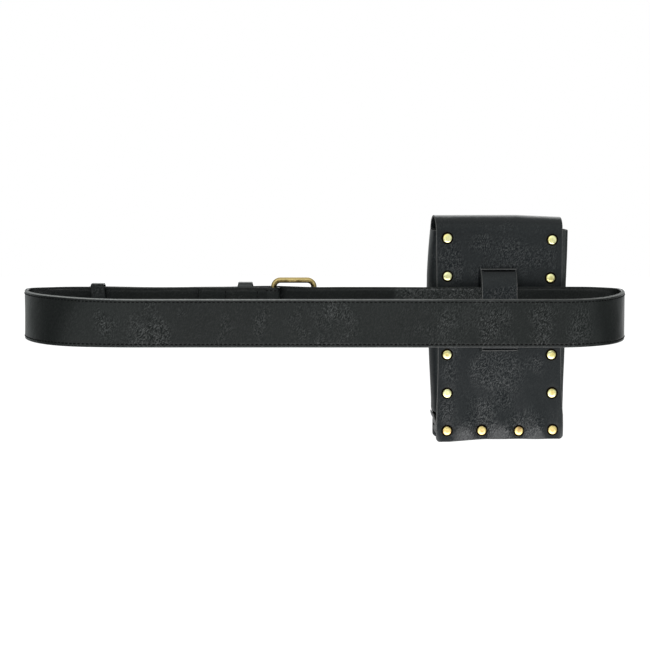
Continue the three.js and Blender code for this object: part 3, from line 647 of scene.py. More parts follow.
def elliptic_turn(centre, reach_x, reach_y, start, end, parts):
    turn = np.radians(np.linspace(start, end, parts + 1))
    x, y = centre[0] + reach_x * np.cos(turn), centre[1] + reach_y * np.sin(turn)
    return np.stack([x, y, 0 * turn], -1)


def ring_end(end):
    """One end of the ring, from its front stretch round to its back: two quarter ellipses."""
    sign, far_x, far_y = end["sign"], end["far_x"], end["far_y"]
    far, last = (0, -90) if sign > 0 else (180, 270)
    reach, deep = end["front_reach"], end["front_y"] - far_y
    to_front = elliptic_turn((sign * (far_x - reach), far_y), reach, deep, 90, far, FRONT_PARTS)
    reach, deep = end["back_reach"], far_y - LOOP_BACK_Y
    to_back = elliptic_turn((sign * (far_x - reach), far_y), reach, deep, far, last, BACK_PARTS)
    return np.concatenate([to_front, to_back[1:]])


def raised(table):
    return np.array([(*row, 0)[:3] for row in table], float)


def ring_lean(x, y):
    """How far the upper edge leans to the buckle side, round the ring's ends.

    The lower edge leans as far the other way.
    """
    lean = np.zeros(len(x))
    for end in (LEFT_END, RIGHT_END):
        out = end["sign"] * x
        back = y < end["far_y"]
        reach = np.where(back, end["back_reach"], end["front_reach"])
        turn = np.degrees(np.arccos(np.clip((out - end["far_x"] + reach) / reach, 0, 1)))
        share = np.where(back, (end["fade"] - turn) / LEAN_BACK, (LEAN_FRONT - turn) / LEAN_FRONT)
        lean = np.where(out > 0, end["lean"] * eased(np.clip(share, 0, 1)), lean)
    return lean


fold = elliptic_turn(BUCKLE_BAR, FOLD_RADIUS, FOLD_RADIUS, -90, 90, FOLD_PARTS)
route = [raised(FOLDED_END), fold, raised(FRONT_LEFT), ring_end(LEFT_END)]
route += [ring_end(RIGHT_END)[::-1], raised(FRONT_RIGHT)]
belt_run = smooth_run(np.concatenate(route), BELT_PITCH)
belt_run[:, 2] += RING_TILT * belt_run[:, 1]
belt_along = lengths_along(belt_run)
belt_length = belt_along[-1]
print("belt:", len(belt_run), "stations over", round(belt_length), "mm")

# %% [markdown]
# ## The belt strap
# Across its width the strap is flat, with edges rounded over and a shallow groove near each edge
# where the seam pulls it in. A bevelled curve would make it in one step, but with the same section
# everywhere. In a grid the columns can stand close together at the edge and the groove, the width
# can round off at the tip, and the folded end can be thin enough to turn tightly.
# The inside is duller than the outside and is also painted darker as shade, and so is the folded
# end;
# a stretch of the inside before the pouch keeps the brighter skin, painted light where light falls.

# %% Belt grid
BELT_ROUNDING, BELT_FLAT = 1, 0.3
SEAM_INSET, SEAM_WIDTH, SEAM_DEPTH = 2.5, 0.55, 0.15
TIP_LENGTH, TIP_NARROWEST = 24, 2.2
SKIVED_TO = (75, 90)
# Distances from an edge, and from an end, where the grid has columns and rows.
BELT_STEPS = [0, 0.06, 0.24, 0.5, 0.8, 1.2, 1.6, 1.95, 2.25, 2.5, 2.75, 3.05, 3.5, 4.4, 6]
BELT_STEPS += [8.5, 11.5, 15]
END_STEPS = [0, 0.1, 0.3, 0.6, 1, 1.5, 2, 2.6, 3.4, 4.5, 6, 8, 10.5, 13.5, 17, 21]
# The slow unevenness of the strap: its depth, and its lengths along and across.
STRAY, STRAY_SHORT, STRAY_LONG, STRAY_ACROSS = 0.1, 6.1, 11.3, 7


def belt_stray(s, up):
    """How far the strap strays from its route, since no real strap is quite flat."""
    short = np.sin(s / STRAY_SHORT) * np.cos(up / STRAY_ACROSS)
    return STRAY * (short + np.sin(s / STRAY_LONG + 1))


def both_ends(steps, middle, length):
    return np.concatenate([steps, middle, [length - step for step in reversed(steps)]])


clear = END_STEPS[-1] + 1
belt_s = belt_along[(belt_along > clear) & (belt_along < belt_length - clear)]
belt_s = both_ends(END_STEPS, belt_s, belt_length)
belt_line = np.stack([np.interp(belt_s, belt_along, belt_run[:, k]) for k in range(3)], -1)
belt_x, belt_y = belt_line[:, 0], belt_line[:, 1]
heading = np.gradient(belt_line[:, :2], axis=0)
heading /= np.linalg.norm(heading, axis=1, keepdims=True)
belt_side = np.stack([heading[:, 1], -heading[:, 0], 0 * belt_s], -1)
belt_full = np.interp(belt_s, SKIVED_TO, [BELT_SKIVED, BELT_THICK])
belt_lean = ring_lean(belt_x, belt_y) / (BELT_WIDTH / 2)
# How a place moves for each millimetre up the strap.
belt_rise = np.stack([LEAN_OUT * np.sign(belt_x) * belt_lean, belt_lean, np.ones(len(belt_s))], -1)
tip_share = np.clip(1 - (belt_length - belt_s) / TIP_LENGTH, 0, 1)
belt_half = np.maximum(TIP_NARROWEST, BELT_WIDTH / 2 * np.sqrt(1 - tip_share**2))
belt_columns = both_ends(BELT_STEPS, [BELT_WIDTH / 2], BELT_WIDTH)
belt_up = belt_half[:, None] * (belt_columns / (BELT_WIDTH / 2) - 1)
belt_from_edge = np.minimum(belt_half[:, None] - np.abs(belt_up), from_ends(belt_s)[:, None])
stray = belt_stray(belt_s[:, None], belt_up)[..., None] * belt_side[:, None]
belt_middle = belt_line[:, None] + belt_up[..., None] * belt_rise[:, None] + stray
belt_thick = belt_full[:, None] * rounded_over(belt_from_edge, BELT_ROUNDING, BELT_FLAT)
belt_thick -= 2 * SEAM_DEPTH * pressed(belt_from_edge - SEAM_INSET, SEAM_WIDTH)
print("belt grid:", len(belt_s), "rows of", len(belt_columns))

# %% Belt strap
FOLD_LENGTH, WORN_HIGHLIT_BAND, WORN_HIGHLIT_END = 57, 0.8, 30
# Patches of wrinkles on the back stretch: x, height, reach across, reach up and strength.
BELT_WRINKLES = [
    (-195, 12, 9, 9, 0.5), (-166, 4, 16, 15, 0.5), (-136, -6, 20, 20, 0.8),
    (-81, 0, 10, 14, 0.4), (-51, 2, 7, 17, 0.5), (-20, 6, 12, 14, 0.45),
    (6, 0, 25, 20, 0.6), (79, 0, 13, 18, 0.5), (100, -5, 24, 19, 0.65),
    (130, 0, 24, 20, 0.7), (170, 0, 13, 18, 0.65), (199, 0, 13, 22, 0.85),
]
# The inside's lit stretch: a patch of wrinkles, and the x from which to which it is painted
# lighter.
INSIDE_WRINKLES, LIT_INSIDE = [(105, 0, 45, 60, 1)], (60, 138)
back_stretch = belt_line[:, 1:2] < 0
outside = wrinkled_places(BELT_WRINKLES, belt_middle[..., 0], belt_up)
inside = wrinkled_places(INSIDE_WRINKLES, belt_middle[..., 0], belt_up)
strap_mesh = leather_sheet(
    "belt_strap", belt_middle, np.repeat(belt_side[:, None], len(belt_columns), axis=1),
    belt_thick, belt_from_edge, -1, skins["belt_leather"],
    outside=np.where(back_stretch, outside, PLAIN_WRINKLES),
    inside=np.where(belt_line[:, 1:2] > 0, inside, 0),
)
# The upper edge round the ring, from its left end to its right one, is painted pale: partly dye
# worn off, partly a painted highlight along its rounded top.
row = np.arange(len(belt_s))
ring_from = np.argmax(np.abs(belt_x) > LEFT_END["far_x"] - LEFT_END["front_reach"])
ring_to = len(belt_s) - np.argmax(belt_x[::-1] > RIGHT_END["far_x"] - WORN_HIGHLIT_END)
worn_highlit_rows = (row >= ring_from) & (row <= ring_to) & (belt_y < RIGHT_END["front_y"])
worn_highlit_columns = BELT_WIDTH - belt_columns[:-1] <= WORN_HIGHLIT_BAND + TOUCH
lit_inside_rows = (belt_x > LIT_INSIDE[0]) & (belt_x < LIT_INSIDE[1]) & (belt_y > 0)
side_grid = (len(belt_s) - 1, len(belt_columns) - 1)


def strap_faces(rows, columns=True):
    """Numbers of one side's faces in some rows and columns of the strap's grid."""
    return np.flatnonzero(np.broadcast_to(rows[:-1, None] & columns, side_grid))


repaint(strap_mesh, strap_faces(worn_highlit_rows, worn_highlit_columns), worn_edge)
# The inside is painted darker, partly the duller flesh side and partly shade, but for the lit
# stretch; the folded end is painted darker as shade too.
repaint(strap_mesh, math.prod(side_grid) + strap_faces(~lit_inside_rows), skins["belt_inside"])
repaint(strap_mesh, strap_faces(belt_s < FOLD_LENGTH), skins["belt_inside"])
print("strap:", len(strap_mesh.polygons), "faces before its holes are cut")

# %% [markdown]
# ## Punched holes
# The strap has round holes for the prong, a slot in the fold that lets the prong swing, and the
# hole the prong is in, which is stretched because the prong goes through at a slant.
# The grid could be woven round each hole, but a Boolean modifier cuts them as a punch does.
# The cutters carry the dyed edge material, which passes to the holes' walls.

# %% Round shapes
ROUND_SHARP = math.radians(40)


def whole_turn(sides):
    return np.radians(np.arange(sides) * 360 / sides)


def ring_faces(stations, sides, loop=True):
    """Faces between rings of places, the last ring joined to the first in a loop."""
    faces = []
    for i in range(stations if loop else stations - 1):
        here, there = i * sides, (i + 1) % stations * sides
        for k in range(sides):
            n = (k + 1) % sides
            faces.append((here + k, there + k, there + n, here + n))
    return faces


def closed_rings(rings, start, end):
    """Places and faces of a closed shape: rings of places, with a point at each end."""
    sides, last = len(rings[0]), (len(rings) - 1) * len(rings[0])
    places = np.concatenate([*rings, [start], [end]])
    faces = ring_faces(len(rings), sides, loop=False)
    for k in range(sides):
        n = (k + 1) % sides
        faces.append((len(places) - 2, k, n))
        faces.append((len(places) - 1, last + n, last + k))
    return places, faces


def tube(path, radii, sides):
    """A closed rod along a path with no rise, with a radius at each station."""
    path = np.asarray(path, float)
    heading = np.gradient(path, axis=0)
    heading /= np.linalg.norm(heading, axis=1, keepdims=True)
    beside = np.stack([heading[:, 1], -heading[:, 0], 0 * heading[:, 0]], -1)
    turn = whole_turn(sides)[:, None]
    rings = [
        place + radius * (np.cos(turn) * flank + np.sin(turn) * np.array([0, 0, 1]))
        for place, radius, flank in zip(path, radii, beside)
    ]
    return closed_rings(rings, path[0], path[-1])


def solid(name, places, faces, *materials):
    return in_scene(name, new_mesh(name, places, faces, materials))


def applied(made):
    """The plain mesh that an object has with its modifiers; the helper object goes."""
    bpy.context.view_layer.update()
    graph = bpy.context.evaluated_depsgraph_get()
    mesh = bpy.data.meshes.new_from_object(made.evaluated_get(graph))
    mesh.name = made.name
    bpy.data.objects.remove(made)
    return mesh


def joined(name, mesh, tools, operation, sharp):
    """Cuts tools out of a mesh, or welds them to it, and keeps edges over an angle sharp."""
    blank = in_scene(name + "_blank", mesh)
    for tool in tools:
        change = blank.modifiers.new(tool.name, "BOOLEAN")
        change.operation = operation
        change.object = tool
        change.material_mode = "TRANSFER"
    result = applied(blank)
    for tool in tools:
        bpy.data.objects.remove(tool)
    result.set_sharp_from_angle(angle=sharp)
    return result


print("a tube of 20 sides has", len(tube([(0, 0, 0), (1, 0, 0)], [1, 1], 20)[1]), "faces")

# %% Holes
PRONG_RADIUS, PRONG_TIP = 1.5, (-5.7, 48.2)
HOLE_RADIUS, HOLE_PLACES = 2, [17, 42, -83, -108]
PUNCH_SIDES, PUNCH_REACH = 20, 4
PRONG_SLACK, SLANT_FROM, SLANT_TO = 0.6, 0.06, 1.02
SLOT_X, SLOT_Y, SLOT_HALF = (-46.9, -35.7), (36.2, 48.75), 3
BOX_FACES = [(0, 1, 3, 2), (4, 6, 7, 5), (0, 4, 5, 1), (2, 3, 7, 6), (0, 2, 6, 4), (1, 5, 7, 3)]
buckle_rise = RING_TILT * BUCKLE_BAR[1]
bar, tip = np.array([*BUCKLE_BAR, buckle_rise]), np.array([*PRONG_TIP, buckle_rise])
tail_run = smooth_run(raised(FRONT_RIGHT), 1)
punches = []
for x in HOLE_PLACES:
    y = tail_run[np.argmin(np.abs(tail_run[:, 0] - x)), 1]
    ends = [(x, y + reach, RING_TILT * y) for reach in (-PUNCH_REACH, PUNCH_REACH)]
    punches.append(solid("punch", *tube(ends, [HOLE_RADIUS] * 2, PUNCH_SIDES), dyed_edge))
slant = [bar + (tip - bar) * t for t in (SLANT_FROM, SLANT_TO)]
slant_tube = tube(slant, [PRONG_RADIUS + PRONG_SLACK] * 2, PUNCH_SIDES)
punches.append(solid("slant_punch", *slant_tube, dyed_edge))
slot_z = (buckle_rise - SLOT_HALF, buckle_rise + SLOT_HALF)
slot_corners = [(x, y, z) for x in SLOT_X for y in SLOT_Y for z in slot_z]
punches.append(solid("slot_punch", slot_corners, BOX_FACES, dyed_edge))
strap_mesh = joined("belt_strap", strap_mesh, punches, "DIFFERENCE", ROUND_SHARP)
finish_piece("belt_strap", strap_mesh, "black_leather", "belt_strap")

# %% [markdown]
# ## Keepers
# Two leather bands hold the tail: one sewn in behind the buckle, one that slides near the tip.
# A torus bent square would be too even, so each is a short sheet bent into a closed flat ring: the
# grid closes on itself the long way and has cut edges only on its two sides, dyed like its skin.
# The sliding one leans, as it does in the photograph.

# %% Keepers
LEATHER = 1.6
KEEPER_CORNER, KEEPER_TURNS, KEEPER_PITCH, KEEPER_STEP = 2.2, 9, 1.4, 2.0
KEEPER_ROUNDING, KEEPER_FLAT, KEEPER_TAPER, TAPER_OVER = 0.45, 0.45, 0.12, 3
# Each keeper: its x, width, inner and outer y, height, lean in degrees, bow and skin.
KEEPERS = {
    # The fixed keeper gets the lighter skin, painted light; the sliding one the darker, painted
    # shade.
    "fixed_keeper": (-65.2, 13.2, 43.1, 53.4, 44.4, 0, 2.2, "side_leather"),
    "sliding_keeper": (-185.5, 11.4, 43.8, 55.2, 42, 6.5, 2.2, "belt_inside"),
}


def rounded_corners(centre, half, corner, count):
    """Places round a rounded box's four corners, and the way out of the box at each."""
    places, away = [], []
    for side, up, start in ((1, 1, 0), (-1, 1, 90), (-1, -1, 180), (1, -1, 270)):
        turn = np.radians(np.linspace(start, start + 90, count))
        flank = np.stack([np.cos(turn), np.sin(turn)], -1)
        middle = np.array([centre + side * (half[0] - corner), up * (half[1] - corner)])
        places.append(middle + corner * flank)
        away.append(flank)
    return np.array(places), np.array(away)


def keeper_path(inner, outer, high, bow):
    """The band's middle line round the belt, as (y, z). Its inner side bows out."""
    half = ((outer - inner) / 2, high / 2)
    corners = rounded_corners((inner + outer) / 2, half, KEEPER_CORNER, KEEPER_TURNS)[0]
    closed = np.concatenate([*corners, corners[0, :1]])
    along = lengths_along(closed)
    stations = np.unique(np.concatenate([along, np.arange(0, along[-1], KEEPER_STEP)]))[:-1]
    y, z = (np.interp(stations, along, closed[:, k]) for k in (0, 1))
    bowed = np.where(y < inner + KEEPER_CORNER, bow * (1 - (2 * z / high) ** 2), 0)
    return (y - bowed)[:, None], z[:, None]


def grid_of(x, y, z):
    """A grid of places, from numbers, rows and columns."""
    return np.stack(np.broadcast_arrays(x, y, z), -1).astype(float)


for name, (at_x, wide, inner, outer, high, lean, bow, skin) in KEEPERS.items():
    y, z = keeper_path(inner, outer, high, bow)
    columns = edged(wide, KEEPER_ROUNDING, KEEPER_PITCH)
    over = np.clip((np.abs(z) - BELT_WIDTH / 2) / TAPER_OVER, 0, 1)
    x = at_x + (1 - KEEPER_TAPER * over) * (columns - wide / 2) - math.tan(math.radians(lean)) * z
    middle = grid_of(x, y, z + RING_TILT * (inner + outer) / 2)
    from_edge = np.broadcast_to(from_ends(columns), x.shape)
    thick = LEATHER * rounded_over(from_edge, KEEPER_ROUNDING, KEEPER_FLAT)
    outward = outward_of(middle, loop=True)
    looks = {"skin": skins[skin], "cut": skins[skin], "loop": True}
    mesh = leather_sheet(name, middle, outward, thick, from_edge, -1, **looks)
    finish_piece(name, mesh, "black_leather", name)

# %% [markdown]
# ## Buckle
# The buckle is a frame of round wire with rounded corners, a little taller than the belt, and a
# prong that turns on its inner bar and rests on the outer one. A bevelled curve could draw the
# frame, but a swept ring of places also lets each point say how worn it is: the inside of the
# frame stays dark, and its outside is rubbed bright. The prong's eye and rod are welded together.

# %% Buckle frame
BUCKLE_WIDE, BUCKLE_HIGH, WIRE, BUCKLE_CORNER = 37.8, 54.4, 4.6, 5.5
WIRE_SIDES, CORNER_TURNS, STRAIGHT_STEPS = 24, 10, (0.2, 0.4, 0.6, 0.8)
WORN_MIDDLE, WORN_SWING = 0.42, 0.7
half = ((BUCKLE_WIDE - WIRE) / 2, (BUCKLE_HIGH - WIRE) / 2)
corners, away = rounded_corners(BUCKLE_BAR[0] + half[0], half, BUCKLE_CORNER, CORNER_TURNS)
leave, arrive = corners[:, -1:], np.roll(corners[:, :1], -1, axis=0)
straights = leave + np.array(STRAIGHT_STEPS)[:, None] * (arrive - leave)
line = np.concatenate([corners, straights], axis=1).reshape(-1, 2, 1)
straight_away = np.repeat(away[:, -1:], len(STRAIGHT_STEPS), axis=1)
away = np.concatenate([away, straight_away], axis=1).reshape(-1, 2, 1)
turn = whole_turn(WIRE_SIDES)
x, z = (line[:, k] + WIRE / 2 * np.cos(turn) * away[:, k] for k in (0, 1))
places = grid_of(x, BUCKLE_BAR[1] + WIRE / 2 * np.sin(turn), buckle_rise + z).reshape(-1, 3)
frame_mesh = new_mesh("buckle_frame", places, ring_faces(len(line), WIRE_SIDES), [aged_brass])
mark(frame_mesh, "worn", np.tile(np.clip(WORN_MIDDLE + WORN_SWING * np.cos(turn), 0, 1), len(line)))
finish_piece("buckle_frame", frame_mesh, "aged_brass", "buckle_frame")

# %% Buckle prong
EYE_HALF, EYE_WALL, EYE_PARTS, ROD_SIDES = 2, 1.7, 30, 18
EYE_INNER = WIRE / 2 + 0.3
# The eye's section: share of its wall outwards, and share of its half height.
EYE_SECTION = [(0.25, -1), (0.75, -1), (1, -0.7), (1, 0.7), (0.75, 1), (0.25, 1)]
EYE_SECTION += [(0, 0.7), (0, -0.7)]
PRONG_SHARP, PRONG_WORN = math.radians(50), 0.75
reach = np.linalg.norm(tip - bar)
# Along the rod from the bar, and its radius there.
ROD = [(EYE_INNER + 0.9, 1.5), (8, 1.5), (14, 1.5), (20, 1.48), (26, 1.45), (reach - 4, 1.35)]
ROD += [(reach - 2, 1.2), (reach - 0.8, 0.95), (reach - 0.2, 0.6), (reach, 0.3)]
turn = whole_turn(EYE_PARTS)[:, None]
deep, high = np.array(EYE_SECTION).T
out = EYE_INNER + deep * EYE_WALL
eye_places = bar + grid_of(out * np.cos(turn), out * np.sin(turn), high * EYE_HALF)
eye_faces = ring_faces(EYE_PARTS, len(EYE_SECTION))
eye_mesh = new_mesh("prong_eye", eye_places.reshape(-1, 3), eye_faces, [aged_brass])
rod_path = [bar + (tip - bar) / reach * s for s, radius in ROD]
rod = solid("prong_rod", *tube(rod_path, [radius for s, radius in ROD], ROD_SIDES), aged_brass)
prong_mesh = joined("buckle_prong", eye_mesh, [rod], "UNION", PRONG_SHARP)
mark(prong_mesh, "worn", np.full(len(prong_mesh.vertices), PRONG_WORN))
finish_piece("buckle_prong", prong_mesh, "aged_brass", "buckle_prong")

# %% [markdown]
# ## The pouch's own frame
# The pouch is drawn flat and upright: x across, y from its back to its flap, z up. It hangs a
# little turned and askew, so one function puts drawn places on the bag, instead of turned objects.
# The tables say how the panels' half width changes with height and where the rivets are, because
# the rivets dent the leather that they hold. One more function makes a sheet from drawn places.

# %% Pouch frame
POUCH_X, POUCH_Y, POUCH_YAW, POUCH_LEAN = 146.4, 50.9, math.radians(2.5), -0.0095
POUCH_DEPTH, POUCH_BOTTOM, POUCH_MOUTH, GAP = 30, -109.2, 66.2, 0.3
PANEL_HALF = [(66.2, 52.7), (20, 52.4), (-33, 51.6), (-65, 52.2), (-90, 53.4), (-109.2, 53.7)]
# Each row: the left rivet's x and z, then the right one's. The last row is low in the middle.
RIVET_ROWS = [
    (-43.4, 59.9, 44, 58.3), (-43.4, 28.2, 42.7, 26.4), (-43.6, -4.6, 43.1, -5.6),
    (-43.9, -37.4, 43.6, -37.9), (-44, -70, 44.2, -70.3), (-44.2, -101.7, 44.8, -101.5),
    (-14.9, -101.6, 16.3, -102.1),
]
SHEET_ROUNDING, SHEET_FLAT, RAW_BAND = 0.5, 0.4, 0.55
BACKWARDS, FORWARDS = (0, -1, 0), (0, 1, 0)
yaw_cos, yaw_sin = math.cos(POUCH_YAW), math.sin(POUCH_YAW)
rivet_places = np.array(RIVET_ROWS, float).reshape(-1, 2)


def pouch_way(direction):
    """A drawn direction, turned as the pouch is."""
    x, y, z = direction
    return np.array([x * yaw_cos - y * yaw_sin, x * yaw_sin + y * yaw_cos, z])


def on_pouch(places):
    """From the pouch's drawn places to the bag, in millimetres."""
    x, y, z = np.moveaxis(np.asarray(places, float), -1, 0)
    x = x + POUCH_LEAN * z
    turned_x = POUCH_X + x * yaw_cos - y * yaw_sin
    return np.stack([turned_x, POUCH_Y + x * yaw_sin + y * yaw_cos, z], -1)


def by_height(table, z):
    """A table's value at heights, its rows going from the top down, eased between rows."""
    run = smooth_run(table[::-1], 1.5)
    return np.interp(z, run[:, 0], run[:, 1])


def panel_half(z):
    return by_height(PANEL_HALF, z)


def rivet_dent(x, z, depth, width):
    """How far the rivets press the leather in, at drawn places."""
    dent = np.zeros(np.shape(x))
    for rivet_x, rivet_z in rivet_places:
        dent = np.maximum(dent, depth * pressed(np.hypot(x - rivet_x, z - rivet_z), width))
    return dent


def pouch_sheet(name, drawn, from_edge, facing=None, dent=0, taper=1, **looks):
    """A leather sheet from drawn places; `dent` presses in its outside, which looks `facing`."""
    middle = on_pouch(drawn)
    outward = outward_of(middle)
    if facing is not None:
        outward *= np.sign(np.sum(outward[0, 0] * pouch_way(facing)))
    thick = LEATHER * rounded_over(from_edge, SHEET_ROUNDING, SHEET_FLAT) * taper - dent
    middle = middle - outward * np.broadcast_to(dent, thick.shape)[..., None] / 2
    looks = {"skin": skins["pouch_leather"], **looks}
    return leather_sheet(name, middle, outward, thick, from_edge, RAW_BAND, **looks)


print("pouch:", len(rivet_places), "rivets on each panel")

# %% [markdown]
# ## Back panel and flap
# One sheet makes the back, rolls over the mouth and comes down the front as the flap.
# The grid follows that path: its rows go up the back, over the roll and down, its columns across.
# A simulated cloth would bend by itself, but not to the photograph's outline. So the uneven lower
# edge, the roll's slope at its right end and the line pressed by the belt loop are in the grid, and
# soft waves of less than a millimetre keep the wide panels from looking like board.

# %% Forms of the panels
HEM_SWELL, HEM_HEIGHT, HEM_HOLD, HEM_GRIP = 3, 14, 7, 1.5
CROWN_SHARE = 0.74
# How the lower edge drops to each side: the side, where it starts, over which width, how it
# bends and how far it drops. It fades out at a height over the edge.
HEM_DROPS, DROP_HEIGHT = [(-1, 0.22, 0.62, 1.3, 2.1), (1, 0.3, 0.3, 1, 0.2)], 48
# Slow waves of a wide panel: height, lengths across and up, and start.
WAVES = [(0.5, 17, 29, 0.6), (0.35, 31, -15, 2), (0.15, 40, 8, 0)]


def corner_inset(from_end, radius):
    inside = np.clip(radius - from_end, 0, radius)
    return radius - np.sqrt(radius**2 - inside**2)


def hem_drop(across, z):
    drop = 0
    for side, start, width, bend, deep in HEM_DROPS:
        drop = drop + deep * np.clip((side * across - start) / width, 0, 1) ** bend
    return -np.clip((POUCH_BOTTOM + DROP_HEIGHT - z) / DROP_HEIGHT, 0, 1) * drop


def hem_bulge(x, z):
    """How far the leather swells out above its lower edge, between the rivets."""
    up = np.clip((z - POUCH_BOTTOM) / HEM_HEIGHT, 0, 1)
    down = np.clip((POUCH_BOTTOM + 3 * HEM_HEIGHT - z) / (2 * HEM_HEIGHT), 0, 1)
    held = np.zeros(np.broadcast(x, z).shape)
    for rivet_x in rivet_places[-4:, 0]:
        held = np.maximum(held, np.minimum(1, HEM_GRIP * pressed(x - rivet_x, HEM_HOLD)))
    return HEM_SWELL * np.sin(math.pi / 2 * up) * eased(down) * (1 - held)


def crown(height, across, z):
    """How far a panel swells inside its flat riveted border."""
    side = np.minimum(1, np.abs(across) / CROWN_SHARE)
    tall = np.clip((z - POUCH_BOTTOM) / (POUCH_MOUTH - POUCH_BOTTOM), 0, 1)
    return height * (1 - side**2) ** 2 * np.sin(math.pi * tall)


def soft_waves(x, z):
    return sum(high * np.sin(x / wide + z / tall + start) for high, wide, tall, start in WAVES)


print("the lower edge drops by", round(float(-hem_drop(-1.0, POUCH_BOTTOM)), 1), "mm on the left")

# %% Path of the flap
CORNER, ARCH_HEIGHT, BACK_PITCH = 3.8, 11.2, 1.9
FLAP_SPACE, FLAP_END, FLAP_CORNER, FLAP_FLARE, FLAP_CROWN = 2.9, -96, 10, 1.6, 2.4
# The line that the loop's left side presses into the panel: place, half width, depth, upper end.
LOOP_SIDE, LOOP_LINE, LOOP_LINE_DEPTH, LOOP_LINE_TOP = -16.1, 0.75, 1.1, 34
LINE_STEP, LINE_STEPS, LINE_CLEAR = 0.3, 6, 2


def flap_path():
    """Up the back, over the mouth and down the front: y, z, share of the roll, share of the way."""
    back_y, flap_y = LEATHER / 2, POUCH_DEPTH + FLAP_SPACE + LEATHER / 2
    turn = np.linspace(0, math.pi, 181)
    rise = np.linspace(POUCH_BOTTOM, POUCH_MOUTH, 400)[:-1]
    fall = np.linspace(POUCH_MOUTH, FLAP_END, 400)[1:]
    over = back_y + (flap_y - back_y) / 2 * (1 - np.cos(turn))
    y = np.concatenate([0 * rise + back_y, over, 0 * fall + flap_y])
    z = np.concatenate([rise, POUCH_MOUTH + ARCH_HEIGHT * np.sin(turn), fall])
    roll = np.concatenate([0 * rise, np.sin(turn), 0 * fall])
    way = np.concatenate([0 * rise, turn / math.pi, 0 * fall + 1])
    return np.stack([y, z, roll, way], -1)


path = flap_path()
along = lengths_along(path[:, :2])
stations = edged(along[-1], SHEET_ROUNDING, BACK_PITCH)
y, z, roll, way = (np.interp(stations, along, path[:, k])[:, None] for k in range(4))
from_bottom, from_tip = stations[:, None], along[-1] - stations[:, None]
from_end = np.minimum(from_bottom, from_tip)
mouth_half = PANEL_HALF[0][1]
columns = edged(2 * mouth_half, SHEET_ROUNDING, BACK_PITCH)
line_at = mouth_half + LOOP_SIDE
line_columns = line_at + np.arange(-LINE_STEPS, LINE_STEPS + 1) * LINE_STEP
columns = columns[np.abs(columns - line_at) > LINE_CLEAR]
across = np.unique(np.concatenate([columns, line_columns])) / mouth_half - 1
print("flap path:", len(stations), "rows of", len(across), "over", round(along[-1]), "mm")

# %% Back panel and flap
DENT_DEPTH, DENT_WIDTH = 0.5, 5.5
ROLL_DROP, ROLL_FROM = 1.7, 0.3
BACK_WAVES, FLAP_WAVES, WAVES_FROM_END = 0.55, 0.7, 20
# Patches of wrinkles on the back: x, height, reach across, reach up and strength.
PANEL_WRINKLES = [
    (-17, 53, 12, 12, 0.75), (-39, 36, 10, 20, 0.95), (11, 44, 32, 14, 1), (-16, 33, 10, 10, 0.7),
    (-1.5, -52, 28, 24, 1), (-6, -78, 20, 20, 0.8), (-18, -97, 24, 15, 1), (17, -98, 20, 15, 1),
    (-40.5, -51, 9, 18, 0.9), (30, -46, 9, 9, 0.75), (-45, -86, 8, 12, 0.7),
]
is_back, is_flap = way <= 0, way >= 1
half = np.where(way > 0, mouth_half, panel_half(z)) + FLAP_FLARE * way
half = half - corner_inset(from_bottom, CORNER) - corner_inset(from_tip, FLAP_CORNER)
x = across * half
free = (1 - across**2) * np.clip(from_end / WAVES_FROM_END, 0, 1)
waves = free * soft_waves(x, z) * np.where(is_back, BACK_WAVES, np.where(is_flap, FLAP_WAVES, 0))
swell = np.where(is_flap, crown(FLAP_CROWN, across, z), 0) - np.where(is_back, hem_bulge(x, z), 0)
slope = roll * ROLL_DROP * np.maximum(0, (across - ROLL_FROM) / (1 - ROLL_FROM))
drawn_z = z + np.where(is_back, hem_drop(across, z), 0) - slope
loop_line = pressed(x - LOOP_SIDE, LOOP_LINE) * (np.abs(z) < LOOP_LINE_TOP)
dent = rivet_dent(x, drawn_z, DENT_DEPTH, DENT_WIDTH) + LOOP_LINE_DEPTH * loop_line
wrinkles = np.where(is_back, wrinkled_places(PANEL_WRINKLES, x, z), PLAIN_WRINKLES)
panel_mesh = pouch_sheet(
    "back_panel_and_flap", grid_of(x, y + swell + waves, drawn_z),
    np.minimum(half - np.abs(x), from_end), BACKWARDS, np.where(is_back, dent, 0), outside=wrinkles,
)
finish_piece("back_panel_and_flap", panel_mesh, "black_leather", "back_panel_and_flap")

# %% [markdown]
# ## Front panel
# Under the flap is a second panel of the same outline, riveted to the gussets in the same places.
# A copy of the back would do for a part that is hardly seen, but a grid of its own can swell a
# little inside the flat riveted border, as a pouch does when it is used.

# %% Front panel
FRONT_CROWN, FRONT_PITCH = 1.6, 2.2
stations = edged(POUCH_MOUTH - POUCH_BOTTOM, SHEET_ROUNDING, FRONT_PITCH)
z = POUCH_BOTTOM + stations[:, None]
half = panel_half(z) - corner_inset(stations[:, None], CORNER)
x, drawn_z = across * half, z + hem_drop(across, z)
drawn = grid_of(x, POUCH_DEPTH - LEATHER / 2 + crown(FRONT_CROWN, across, z), drawn_z)
from_edge = np.minimum(half - np.abs(x), from_ends(stations)[:, None])
dent = rivet_dent(x, drawn_z, DENT_DEPTH, DENT_WIDTH)
front_mesh = pouch_sheet("front_panel", drawn, from_edge, FORWARDS, dent)
finish_piece("front_panel", front_mesh, "black_leather", "front_panel")

# %% [markdown]
# ## Side gussets
# Each side wall is a strip with a flange riveted behind each panel, and it swells out between
# them. A lattice could bulge a plain strip, but tables are easier to hold against the photograph:
# a section across the strip is a smooth run through a few places, and its swell changes with
# height. It is fullest near the mouth on the right, at the belt on the left, and tucked in below.

